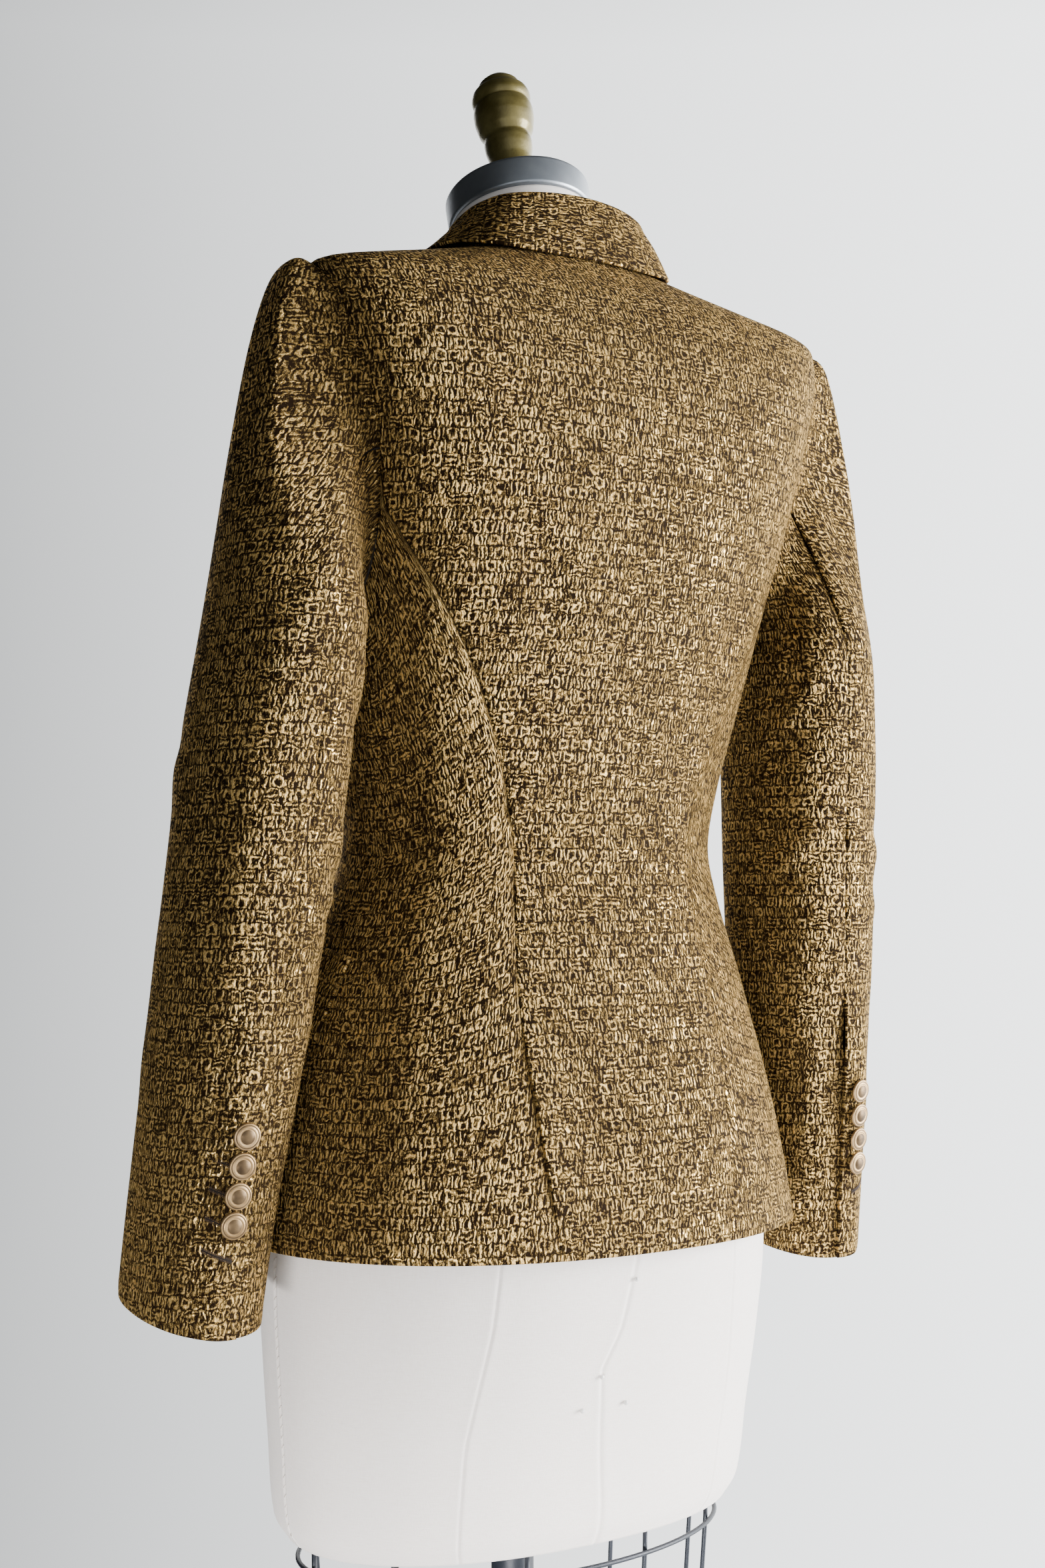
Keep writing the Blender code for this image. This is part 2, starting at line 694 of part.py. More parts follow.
# Neck cap and finial: turned, tipped to the front with the neck.
tip = math.radians(15)
axis = (0.0, -math.sin(tip), math.cos(tip))
seat = np.array((0.0, 0.0100, 1.515)) + np.array(axis) * 0.0006
turned(
    "neck_cap",
    ((0, 0), (0.0460, 0), (0.0475, 0.0015), (0.0475, 0.0185), (0.0460, 0.0205), (0, 0.0210)),
    steel,
    seat,
    axis,
    40,
)
turned(
    "finial",
    (
        (0, 0),
        (0.0150, 0),
        (0.0136, 0.014),
        (0.0158, 0.034),
        (0.0152, 0.0420),
        (0.0180, 0.0470),
        (0.0198, 0.0550),
        (0.0200, 0.0615),
        (0.0184, 0.0668),
        (0.0197, 0.0715),
        (0.0184, 0.0770),
        (0.0151, 0.0802),
        (0.0135, 0.0840),
        (0.0090, 0.0880),
        (0, 0.0895),
    ),
    brass,
    seat + np.array(axis) * 0.0216,
    axis,
    24,
)

# Pole and base: a straight iron tube with a socket, on a round flat base.
turned("pole", ((0, 0.0313), (0.0135, 0.0313), (0.0135, 0.6904), (0, 0.6904)), iron, (0, 0, 0), (0, 0, 1), 24)
turned(
    "base",
    ((0, 0), (BASE_R, 0), (BASE_R, 0.010), (BASE_R - 0.006, 0.015), (0.045, 0.024), (0.030, 0.031), (0, 0.031)),
    iron,
    (0, 0, 0),
    (0, 0, 1),
    48,
)


# Cage: two wire hoops below the torso, joined by uprights bent at the top to meet its underside.
def cage_curve(points, closed):
    data = bpy.data.curves.new("wire", "CURVE")
    data.dimensions = "3D"
    data.bevel_depth = WIRE
    data.bevel_resolution = 1
    data.use_fill_caps = True
    spline = data.splines.new("POLY")
    spline.points.add(len(points) - 1)
    for target, p in zip(spline.points, points):
        target.co = (p[0], p[1], p[2], 1.0)
    spline.use_cyclic_u = closed
    ob = bpy.data.objects.new("wire", data)
    PIECES.objects.link(ob)
    return ob


def hoop(a, df, db, z, cols):
    pts = []
    for k in range(cols):
        angle = 2 * math.pi * k / cols
        depth = df if math.cos(angle) > 0 else db
        pts.append((a * math.sin(angle), 0.002 - depth * math.cos(angle), z))
    return pts


HOOPS = ((CAGE_TOP, 1.0), (CAGE_LOW, 0.86))
TOP_HOOP = (0.146, 0.090, 0.088)
number = 0
for z, size in HOOPS:
    number += 1
    ring = cage_curve(hoop(TOP_HOOP[0] * size, TOP_HOOP[1] * size, TOP_HOOP[2] * size, z, 36), True)
    ring.name = f"cage_hoop_{number}"
    ring.data.name = ring.name
    ring.data.materials.append(iron)
UPRIGHTS = 10
for k in range(UPRIGHTS):
    angle = 2 * math.pi * (k + 0.5) / UPRIGHTS
    s = math.sin(angle)
    c = math.cos(angle)
    pts = []
    for z, size in ((0.6902, 1.002), (CAGE_TOP, 1.0), (CAGE_LOW, 0.86)):
        depth = TOP_HOOP[1] if c > 0 else TOP_HOOP[2]
        push = WIRE * 2 + 0.0010
        x = TOP_HOOP[0] * size * s
        y = -depth * size * c
        r = math.hypot(x, y)
        pts.append((x - x / r * push, 0.002 + y - y / r * push, z))
    ob = cage_curve(pts, False)
    ob.name = f"cage_wire_{k + 1}"
    ob.data.name = ob.name
    ob.data.materials.append(iron)
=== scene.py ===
import math

import bpy
import numpy as np
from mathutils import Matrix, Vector


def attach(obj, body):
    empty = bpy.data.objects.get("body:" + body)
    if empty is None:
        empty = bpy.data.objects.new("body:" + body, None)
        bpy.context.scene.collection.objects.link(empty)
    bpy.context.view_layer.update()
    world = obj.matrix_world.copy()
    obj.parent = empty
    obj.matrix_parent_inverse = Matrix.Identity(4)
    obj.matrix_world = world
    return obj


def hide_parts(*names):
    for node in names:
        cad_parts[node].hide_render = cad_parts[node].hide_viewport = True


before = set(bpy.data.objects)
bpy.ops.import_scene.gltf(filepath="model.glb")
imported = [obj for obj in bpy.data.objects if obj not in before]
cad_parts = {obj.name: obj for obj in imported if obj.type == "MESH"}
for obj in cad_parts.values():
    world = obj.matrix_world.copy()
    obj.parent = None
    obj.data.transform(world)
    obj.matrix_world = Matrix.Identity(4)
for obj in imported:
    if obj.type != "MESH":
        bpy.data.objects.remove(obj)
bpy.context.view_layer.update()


# Base: a round cast plate that lies flat on the floor, with a boss for the pole. It is cast iron,
# turned on its rim and painted a dark blue-black that is rubbed along its edges.
def feed(node, inputs):
    """Sets a node's inputs by name, or joins them to another node's output."""
    for key, value in inputs.items():
        if isinstance(value, bpy.types.NodeSocket):
            node.id_data.links.new(value, node.inputs[key])
        else:
            node.inputs[key].default_value = value


def put(tree, kind, inputs=None, **settings):
    """A new shader node, with its settings and its inputs."""
    node = tree.nodes.new(kind)
    for key, value in settings.items():
        setattr(node, key, value)
    feed(node, inputs or {})
    return node


def group(name, takes, gives):
    """An empty node group. Its input Place is a vector, and every other socket is a number."""
    tree = bpy.data.node_groups.new(name, "ShaderNodeTree")
    for label in takes:
        kind = "NodeSocketVector" if label == "Place" else "NodeSocketFloat"
        tree.interface.new_socket(label, in_out="INPUT", socket_type=kind)
    for label in gives:
        tree.interface.new_socket(label, in_out="OUTPUT", socket_type="NodeSocketFloat")
    return tree, tree.nodes.new("NodeGroupInput"), tree.nodes.new("NodeGroupOutput")


def wear_group():
    """Soft patches and fine scratches, for anything that hands have rubbed."""
    tree, into, out = group("handling", ("Place", "Patch", "Grit"), ("Patches", "Scratches"))
    place, patch, grit = [into.outputs[label] for label in ("Place", "Patch", "Grit")]
    broad = put(tree, "ShaderNodeTexNoise", {"Vector": place, "Scale": patch, "Detail": 4.0})
    fine = put(tree, "ShaderNodeTexNoise", {"Vector": place, "Scale": grit, "Detail": 6.0, "Roughness": 0.7})
    limits = {"Value": broad.outputs["Fac"], "From Min": 0.35, "From Max": 0.65}
    spread = put(tree, "ShaderNodeMapRange", limits)
    feed(out, {"Patches": spread.outputs["Result"], "Scratches": fine.outputs["Fac"]})
    return tree


handling = wear_group()


def blank(name):
    mat = bpy.data.materials.new(name)
    mat.use_nodes = True
    return mat, mat.node_tree, mat.node_tree.nodes["Principled BSDF"]


def shaded(tree, part, low, high):
    """A colour between two, by a part from 0 to 1."""
    colours = {"Factor": part, "A": (*low, 1.0), "B": (*high, 1.0)}
    return put(tree, "ShaderNodeMix", colours, data_type="RGBA").outputs["Result"]


def rubbed(name, low, high, rough, metal, patch, grit, depth, coat=0.0):
    """A hard finish whose colour and gloss drift between two shades."""
    mat, tree, skin = blank(name)
    place = put(tree, "ShaderNodeTexCoord").outputs["Object"]
    wear = put(tree, "ShaderNodeGroup", {"Place": place, "Patch": patch, "Grit": grit}, node_tree=handling)
    marks = wear.outputs["Scratches"]
    gloss = put(tree, "ShaderNodeMapRange", {"Value": marks, "To Min": rough - 0.08, "To Max": rough + 0.12})
    relief = put(tree, "ShaderNodeBump", {"Height": marks, "Distance": depth, "Strength": 0.5})
    feed(skin, {"Base Color": shaded(tree, wear.outputs["Patches"], low, high), "Coat Weight": coat})
    feed(skin, {"Metallic": metal, "Roughness": gloss.outputs["Result"], "Normal": relief.outputs["Normal"]})
    return mat


def build(name, points, faces, *finishes):
    mesh = bpy.data.meshes.new(name)
    mesh.from_pydata([tuple(map(float, p)) for p in points], [], faces)
    for finish in finishes:
        mesh.materials.append(finish)
    mesh.polygons.foreach_set("use_smooth", [True] * len(mesh.polygons))
    piece = bpy.data.objects.new(name, mesh)
    bpy.context.scene.collection.objects.link(piece)
    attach(piece, "root")
    return piece


def turned(name, profile, finish, place=(0, 0, 0), axis=(0, 0, 1), steps=72):
    """A piece turned on a lathe: radius and height pairs, swept round an axis."""
    z = np.array(axis, float)
    z /= np.linalg.norm(z)
    x = np.cross((0.0, 1.0, 0.0), z)
    x /= np.linalg.norm(x)
    y = np.cross(z, x)
    points = []
    rings = []
    for r, h in profile:
        middle = np.array(place) + z * h
        if r < 1e-6:
            rings.append([len(points)])
            points.append(middle)
            continue
        rings.append(list(range(len(points), len(points) + steps)))
        for k in range(steps):
            a = 2 * math.pi * k / steps
            points.append(middle + (x * math.cos(a) + y * math.sin(a)) * r)
    faces = []
    for low, high in zip(rings, rings[1:]):
        for k in range(steps):
            n = (k + 1) % steps
            if len(low) == 1:
                faces.append((low[0], high[n], high[k]))
            elif len(high) == 1:
                faces.append((low[k], low[n], high[0]))
            else:
                faces.append((low[k], low[n], high[n], high[k]))
    return build(name, points, faces, finish)


def rounded(profile, radius, parts=4):
    """A profile with its corners rounded."""
    out = [profile[0]]
    for before, here, after in zip(profile, profile[1:], profile[2:]):
        a = np.array(before, float) - here
        b = np.array(after, float) - here
        reach = min(radius, np.linalg.norm(a) * 0.45, np.linalg.norm(b) * 0.45)
        start = here + a / np.linalg.norm(a) * reach
        end = here + b / np.linalg.norm(b) * reach
        for k in range(parts + 1):
            t = k / parts
            out.append(tuple(start * (1 - t) ** 2 + np.array(here) * 2 * t * (1 - t) + end * t * t))
    out.append(profile[-1])
    return out


def stands_for(node):
    """The piece takes the place of the solid node, which is hidden."""
    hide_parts(node)


iron = rubbed("iron_paint", (0.010, 0.013, 0.020), (0.022, 0.027, 0.038), 0.42, 0.35, 14.0, 900.0, 0.0002)
plate = [(0, 0), (0.2, 0), (0.2, 0.010), (0.194, 0.015), (0.045, 0.024), (0.030, 0.031), (0, 0.031)]
base = turned("cast_base", rounded(plate, 0.004), iron, steps=128)
stands_for("base")

# Pole: a straight steel tube, 27 mm across, from the base's boss up to the form's underside. It is
# painted like the base and pressed into the boss.
tube = [(0, 0.0313), (0.0135, 0.0313), (0.0135, 0.6904), (0, 0.6904)]
pole = turned("pole_tube", rounded(tube, 0.0008, 2), iron, steps=56)
stands_for("pole")


# Cage: drawn wire, 3 mm thick, bent to two hoops and ten uprights whose top ends meet the form's
# underside. The uprights stand just inside the hoops and are spot welded to them.
def strands(name, paths, radius, finish, sides=5, closed=False, beside=(0.31, 0.47, 0.83)):
    """Wires or threads in one piece, each a thin round tube along its path."""
    points = []
    faces = []
    for path in paths:
        path = np.array(path, float)
        ahead = np.roll(path, -1, axis=0) - np.roll(path, 1, axis=0) if closed else np.gradient(path, axis=0)
        side = np.cross(ahead[0], beside)
        start = len(points)
        for k, spot in enumerate(path):
            t = ahead[k] / np.linalg.norm(ahead[k])
            side = side - t * np.dot(side, t)
            side /= np.linalg.norm(side)
            up = np.cross(t, side)
            for j in range(sides):
                a = 2 * math.pi * j / sides
                points.append(spot + (side * math.cos(a) + up * math.sin(a)) * radius)
        for k in range(len(path) if closed else len(path) - 1):
            low = start + k * sides
            high = start + (k + 1) % len(path) * sides
            for j in range(sides):
                n = (j + 1) % sides
                faces.append((low + j, low + n, high + n, high + j))
        if not closed:
            faces.append(tuple(start + j for j in reversed(range(sides))))
            faces.append(tuple(range(len(points) - sides, len(points))))
    return build(name, points, faces, finish)


WIRE = 0.0015
HOOP = (0.146, 0.090, 0.088)
LEVELS = ((0.6902, 1.002), (0.677, 1.0), (0.430, 0.86))


def hoop_place(turn, size):
    """A place on the hoop, whose front and back are not equally deep."""
    depth = HOOP[1] if math.cos(turn) > 0 else HOOP[2]
    return HOOP[0] * size * math.sin(turn), -depth * size * math.cos(turn)


for number, (height, size) in enumerate(LEVELS[1:], 1):
    run = []
    for k in range(96):
        x, y = hoop_place(2 * math.pi * k / 96, size)
        run.append((x, 0.002 + y, height))
    hoop = strands(f"hoop_wire_{number}", [run], WIRE, iron, 12, True, (0.3, 0.2, 1.0))
    stands_for(f"cage_hoop_{number}")
for k in range(10):
    run = []
    for height, size in LEVELS:
        x, y = hoop_place(2 * math.pi * (k + 0.5) / 10, size)
        shrink = 1 - (WIRE * 2 + 0.0010) / math.hypot(x, y)
        run.append((x * shrink, 0.002 + y * shrink, height))
    upright = strands(f"upright_{k + 1}", [run], WIRE, iron, 12, False, (1.0, 0.0, 0.1))
    stands_for(f"cage_wire_{k + 1}")


# Form: a moulded torso without limbs, covered in cream linen that is pulled tight and sewn down
# the back, the sides and the shaped seams. It is hollow board, so it is hard under the linen.
TORSO = (
    (0.691, 0.151, 0.002, 0.094, 0.09, 2.2, 0.0),
    (0.704, 0.159, 0.002, 0.1, 0.097, 2.2, 0.0),
    (0.75, 0.163, 0.002, 0.104, 0.107, 2.2, 0.0),
    (0.8, 0.1665, 0.002, 0.108, 0.12, 2.2, 0.0),
    (0.85, 0.169, 0.002, 0.113, 0.129, 2.2, 0.0),
    (0.9, 0.167, 0.003, 0.116, 0.13, 2.2, 0.0),
    (0.95, 0.157, 0.006, 0.112, 0.12, 2.2, 0.0),
    (1.0, 0.143, 0.01, 0.102, 0.106, 2.2, 0.0),
    (1.05, 0.126, 0.014, 0.092, 0.092, 2.2, 0.0),
    (1.108, 0.113, 0.019, 0.086, 0.081, 2.2, 0.0),
    (1.16, 0.119, 0.025, 0.094, 0.083, 2.2, 0.0),
    (1.22, 0.132, 0.033, 0.112, 0.089, 2.2, 0.0),
    (1.28, 0.143, 0.042, 0.124, 0.092, 2.3, 0.0),
    (1.33, 0.151, 0.051, 0.124, 0.088, 2.4, 0.0),
    (1.37, 0.157, 0.058, 0.111, 0.08, 2.4, 0.0),
    (1.4, 0.161, 0.063, 0.095, 0.069, 2.4, 0.0),
    (1.42, 0.161, 0.065, 0.081, 0.055, 2.3, 0.0),
    (1.435, 0.156, 0.064, 0.071, 0.047, 2.2, 0.0),
    (1.446, 0.144, 0.06, 0.066, 0.043, 2.2, 0.0),
    (1.453, 0.135, 0.0575, 0.0652, 0.0421, 2.26, 0.0),
    (1.459, 0.1126, 0.0527, 0.0618, 0.0404, 2.2, 0.0),
    (1.464, 0.0947, 0.049, 0.0592, 0.0385, 2.14, 0.0),
    (1.4685, 0.062, 0.04, 0.052, 0.036, 2.0, 5.0),
    (1.482, 0.0515, 0.025, 0.046, 0.039, 2.0, 10.0),
    (1.5, 0.0485, 0.016, 0.0455, 0.0435, 2.0, 13.0),
    (1.515, 0.0462, 0.01, 0.0455, 0.0455, 2.0, 15.0),
)


def curve(t, start, first, end, last):
    """A smooth curve from a start to an end, by the ways in which it leaves and arrives."""
    out = (2 * t**3 - 3 * t**2 + 1) * start + (t**3 - 2 * t**2 + t) * first
    return out + (3 * t**2 - 2 * t**3) * end + (t**3 - t**2) * last


def at(table, height):
    """Rows of a table at some heights, on a smooth curve through its rows."""
    rows = np.array(table, float)
    if rows[0, 0] > rows[-1, 0]:
        rows = rows[::-1]
    level = rows[:, 0]
    height = np.clip(np.asarray(height, float), level[0], level[-1])
    i = np.clip(np.searchsorted(level, height) - 1, 0, len(rows) - 2)
    slope = np.empty_like(rows)
    slope[1:-1] = (rows[2:] - rows[:-2]) / (level[2:] - level[:-2])[:, None]
    slope[0] = (rows[1] - rows[0]) / (level[1] - level[0])
    slope[-1] = (rows[-1] - rows[-2]) / (level[-1] - level[-2])
    step = (level[i + 1] - level[i])[..., None]
    t = (height - level[i])[..., None] / step
    return curve(t, rows[i], step * slope[i], rows[i + 1], step * slope[i + 1])


def bowed(value, power):
    return np.sign(value) * np.abs(value) ** power


def paired(a, b):
    return np.broadcast_arrays(np.asarray(a, float), np.asarray(b, float))


def ring(row, turn):
    """A point of a body ring, at degrees round from the front."""
    s = np.sin(np.radians(turn))
    c = np.cos(np.radians(turn))
    power = 2 / row[..., 5]
    x = row[..., 1] * bowed(s, power)
    depth = np.where(c > 0, row[..., 3], row[..., 4])
    return x, row[..., 2] - depth * bowed(c, power)


def form_point(z, turn):
    z, turn = paired(z, turn)
    row = at(TORSO, z)
    x, y = ring(row, turn)
    tip = np.radians(row[..., 6])
    dy = y - row[..., 2]
    return np.stack((x, row[..., 2] + dy * np.cos(tip), z + dy * np.sin(tip)), axis=-1)


def linen_cloth(name, pale, shade):
    """Plain-woven linen: thick and thin yarns both ways, and a soft mottle from age."""
    mat, tree, skin = blank(name)
    place = put(tree, "ShaderNodeTexCoord").outputs["Object"]
    yarns = []
    for stretch in ((160.0, 160.0, 2600.0), (2400.0, 2400.0, 120.0)):
        drawn = put(tree, "ShaderNodeMapping", {"Vector": place, "Scale": stretch}).outputs["Vector"]
        noise = put(tree, "ShaderNodeTexNoise", {"Vector": drawn, "Scale": 1.0, "Detail": 2.0})
        yarns.append(noise.outputs["Fac"])
    woven = put(tree, "ShaderNodeMath", {0: yarns[0], 1: yarns[1]}, operation="ADD").outputs[0]
    age = put(tree, "ShaderNodeTexNoise", {"Vector": place, "Scale": 9.0, "Detail": 5.0}).outputs["Fac"]
    mottled = put(tree, "ShaderNodeMath", {0: age, 1: 0.35, 2: woven}, operation="MULTIPLY_ADD").outputs[0]
    part = put(tree, "ShaderNodeMapRange", {"Value": mottled, "From Min": 0.8, "From Max": 1.55})
    relief = put(tree, "ShaderNodeBump", {"Height": woven, "Distance": 0.0003, "Strength": 0.35})
    feed(skin, {"Base Color": shaded(tree, part.outputs["Result"], shade, pale), "Roughness": 0.88})
    feed(skin, {"Normal": relief.outputs["Normal"], "Sheen Weight": 0.25, "Sheen Roughness": 0.5})
    return mat


linen = linen_cloth("cream_linen", (0.93, 0.885, 0.85), (0.84, 0.775, 0.735))
levels = [0.691, 0.6925, 0.695, 0.698, 0.701, 0.705]
levels += list(np.linspace(0.710, 1.440, 120)) + list(np.linspace(1.4415, 1.515, 48))
SEAMS = (
    ((0.691, 33.0), (1.515, 33.0)),
    ((0.691, 90.0), (1.515, 90.0)),
    ((0.691, 146.7), (0.763, 147.0), (0.792, 148.6), (0.83, 151.0), (0.869, 152.0), (1.515, 149.0)),
    (
        (0.691, 179.6),
        (0.714, 179.2),
        (0.760, 177.0),
        (0.801, 175.2),
        (0.824, 178.2),
        (0.866, 180.2),
        (1.515, 180.0),
    ),
    ((0.691, 213.3), (0.763, 213.0), (0.792, 211.4), (0.83, 209.0), (0.869, 208.0), (1.515, 211.0)),
    ((0.691, 270.0), (1.515, 270.0)),
    ((0.691, 327.0), (1.515, 327.0)),
)
homes = np.array([33.0, 90.0, 148.0, 180.0, 212.0, 270.0, 327.0])
beside_seam = np.array([-1.3, -0.8, -0.5, -0.25, 0.0, 0.25, 0.5, 0.8, 1.3])
gaps = np.arange(0, 360, 3.0)
gaps = gaps[np.min(np.abs(gaps[:, None] - homes[None, :]), axis=1) > 2.0]
columns = np.sort(np.concatenate((gaps, (homes[:, None] + beside_seam).reshape(-1))))
around = len(columns)
lines = np.array([np.interp(levels, *zip(*seam)) for seam in SEAMS]).T
skin = []
for height, line in zip(levels, lines):
    turn_row = columns + np.interp(columns, homes, line - homes, period=360)
    apart = np.min(np.abs(columns[:, None] - homes[None, :]), axis=1)
    sunk = -0.00055 * np.exp(-((apart / 0.30) ** 2)) + 0.00030 * np.exp(-(((apart - 0.9) / 0.5) ** 2))
    sunk *= min(max((1.452 - height) / 0.03, 0.0), 1.0)
    here = form_point(height, turn_row)
    middle = np.array((0.0, at(TORSO, height)[2], height))
    way = here - middle
    way[:, 2] = 0
    skin.append(here + way / np.linalg.norm(way, axis=1, keepdims=True) * sunk[:, None])
skin_points = np.array(skin).reshape(-1, 3)
faces = []
for i in range(len(levels) - 1):
    for k in range(around):
        n = (k + 1) % around
        faces.append((i * around + k, i * around + n, (i + 1) * around + n, (i + 1) * around + k))
faces.append(tuple(reversed(range(around))))
faces.append(tuple(range(len(skin_points) - around, len(skin_points))))
form = build("linen_form", skin_points, faces, linen)
stands_for("torso")

thread = rubbed("waxed_thread", (0.46, 0.40, 0.34), (0.66, 0.60, 0.53), 0.7, 0.0, 200.0, 2400.0, 0.00005)
sewn = []
for height in np.arange(0.700, 0.868, 0.0058):
    for home in (90.0, 270.0):
        slant = np.linspace(-1, 1, 5)
        spots = form_point(height + slant * 0.0014, home + slant * 0.55)
        out = np.array((1.0 if home < 180 else -1.0, 0.0, 0.0))
        sewn.append(spots + out * (0.00045 - 0.0005 * slant[:, None] ** 2))
strands("form_side_stitches", sewn, 0.00022, thread)

# Pins: four dressmaker's pins, pushed into the linen of the form at the back, below the blazer.
# They are steel with a white glass head, and only the heads stand out.
glass = rubbed("white_glass", (0.72, 0.71, 0.70), (0.84, 0.83, 0.82), 0.18, 0.0, 200.0, 1600.0, 0.00002, 0.6)
PINS = ((0.8534, 180.0), (0.7974, 175.2), (0.7782, 172.0), (0.7790, 180.6))
for number, (height, place) in enumerate(PINS, 1):
    spot = form_point(height, place)
    way = spot - np.array((0.0, 0.0, height))
    way[2] = 0.004
    way /= np.linalg.norm(way)
    bead = [(0.0, -0.0010), (0.0004, -0.0010), (0.0004, 0.0002)]
    bead += [(0.00135 * math.sin(a), 0.0014 - 0.00135 * math.cos(a)) for a in np.linspace(0.35, math.pi, 12)]
    bead[-1] = (0.0, 0.00275)
    turned(f"pin_head_{number}", bead, glass, spot, way, 24)


# Neck cap: a turned steel disc with a brushed rim, screwed down on the top of the neck. The neck
# leans to the front, so the cap and all above it lean with it.
lean = math.radians(15)
NECK_AXIS = np.array((0.0, -math.sin(lean), math.cos(lean)))
NECK_SEAT = np.array((0.0, 0.0100, 1.515)) + NECK_AXIS * 0.0006
steel = rubbed("brushed_steel", (0.28, 0.31, 0.35), (0.40, 0.43, 0.47), 0.36, 0.85, 30.0, 1500.0, 0.0001)
cap_line = [(0, 0), (0.0460, 0), (0.0475, 0.0015), (0.0475, 0.0185), (0.0460, 0.0205), (0, 0.0210)]
cap = turned("steel_cap", rounded(cap_line, 0.0008, 3), steel, NECK_SEAT, NECK_AXIS, 96)
stands_for("neck_cap")

# Finial: an acorn turned in wood and painted an old gold-olive, screwed to the cap. Its paint is
# worn paler on the belly and stays dark in the grooves.
paint = rubbed(
    "old_gold_paint", (0.105, 0.085, 0.022), (0.21, 0.175, 0.060), 0.34, 0.55, 60.0, 700.0, 0.0002, 0.3
)
acorn = [
    (0, 0), (0.015, 0), (0.0156, 0.004), (0.0135, 0.014), (0.014, 0.026),
    (0.0156, 0.033), (0.016, 0.0385), (0.015, 0.042), (0.018, 0.047), (0.0198, 0.055),
    (0.02, 0.0615), (0.0193, 0.0655), (0.0182, 0.0668), (0.0194, 0.0695), (0.0198, 0.0725),
    (0.0184, 0.077), (0.0158, 0.0795), (0.015, 0.0802), (0.0135, 0.084), (0.009, 0.088),
    (0, 0.0895),
]
knob = turned("acorn_finial", rounded(acorn, 0.0012, 3), paint, NECK_SEAT + NECK_AXIS * 0.0216, NECK_AXIS, 72)
stands_for("finial")

# Back: one piece of the blazer, from the hem to the neck, cut between two long shaped seams. The
# cloth is a thick tweed of crimped metal yarns over dark ones, woven in little squares.
JACKET = (
    (0.86, 0.188, 0.003, 0.142, 0.15, 2.2),
    (0.877, 0.186, 0.003, 0.14, 0.148, 2.2),
    (0.926, 0.176, 0.004, 0.132, 0.142, 2.2),
    (0.976, 0.163, 0.007, 0.122, 0.129, 2.2),
    (1.025, 0.148, 0.011, 0.111, 0.113, 2.2),
    (1.078, 0.129, 0.016, 0.1, 0.097, 2.2),
    (1.108, 0.122, 0.019, 0.096, 0.091, 2.2),
    (1.145, 0.1265, 0.023, 0.101, 0.092, 2.2),
    (1.181, 0.135, 0.027, 0.111, 0.096, 2.2),
    (1.218, 0.142, 0.032, 0.124, 0.1, 2.25),
    (1.26, 0.15, 0.038, 0.136, 0.103, 2.3),
    (1.3, 0.158, 0.045, 0.141, 0.103, 2.4),
    (1.34, 0.1665, 0.052, 0.137, 0.099, 2.5),
    (1.38, 0.175, 0.059, 0.123, 0.09, 2.6),
    (1.41, 0.182, 0.065, 0.107, 0.077, 2.6),
    (1.43, 0.186, 0.068, 0.092, 0.063, 2.5),
    (1.442, 0.183, 0.068, 0.082, 0.053, 2.4),
    (1.452, 0.152, 0.061, 0.074, 0.049, 2.3),
    (1.462, 0.115, 0.053, 0.068, 0.046, 2.2),
    (1.47, 0.087, 0.047, 0.064, 0.043, 2.1),
    (1.476, 0.07, 0.042, 0.062, 0.041, 2.0),
)
BACK_SEAM = (
    (0.872, 163.0),
    (0.94, 159.0),
    (1.012, 154.5),
    (1.06, 152.5),
    (1.108, 150.5),
    (1.16, 146.0),
    (1.21, 138.5),
    (1.255, 127.5),
    (1.29984, 112.6),
)
CLOTH = 0.0022  # thickness
CELL = 0.0073  # one square of the weave
HEM = 0.872
NAPE = 1.476
HOLE_Z = 1.3415  # the armhole's middle height, half height and half width in degrees
HOLE_H = 0.0975
HOLE_TURN = 23.0
HOLE_TOP = 1.440
HOLE_BACK = 112.6  # where the back's and the front's seams meet the armhole, in degrees
HOLE_FRONT = 70.0
SEAM_HALF = 0.0002
DEGREE_RUN = 0.0026  # metres of cloth to a degree round the body


def face_point(z, turn):
    z, turn = paired(z, turn)
    x, y = ring(at(JACKET, z), turn)
    return np.stack((x, y, z), axis=-1)


def unit(v):
    return v / np.linalg.norm(v, axis=-1, keepdims=True)


def outward(z, turn):
    z, turn = paired(z, turn)
    dz = np.where(z < NAPE - 0.004, 0.002, -0.002)
    along = face_point(z, turn + 1.5) - face_point(z, turn - 1.5)
    up = (face_point(z + dz, turn) - face_point(z, turn)) / dz[..., None]
    return unit(np.cross(along, up))


def hole_turn(z):
    """How far round from the side the armhole's edge stands, in degrees."""
    k = (z - HOLE_Z) / HOLE_H
    return HOLE_TURN * np.sqrt(np.maximum(0.0, 1 - k * k)) ** 0.8


def hole_low(turn):
    k = np.minimum(np.abs(turn - 90) / HOLE_TURN, 1.0) ** (1 / 0.8)
    return HOLE_Z - HOLE_H * np.sqrt(np.maximum(0.0, 1 - k * k))


def side_gap(z, turn):
    run = np.linalg.norm(face_point(z, turn + 0.5) - face_point(z, turn - 0.5), axis=-1)
    return SEAM_HALF / np.maximum(run, 0.0004)


def smooth(k):
    k = np.clip(k, 0.0, 1.0)
    return k * k * (3 - 2 * k)


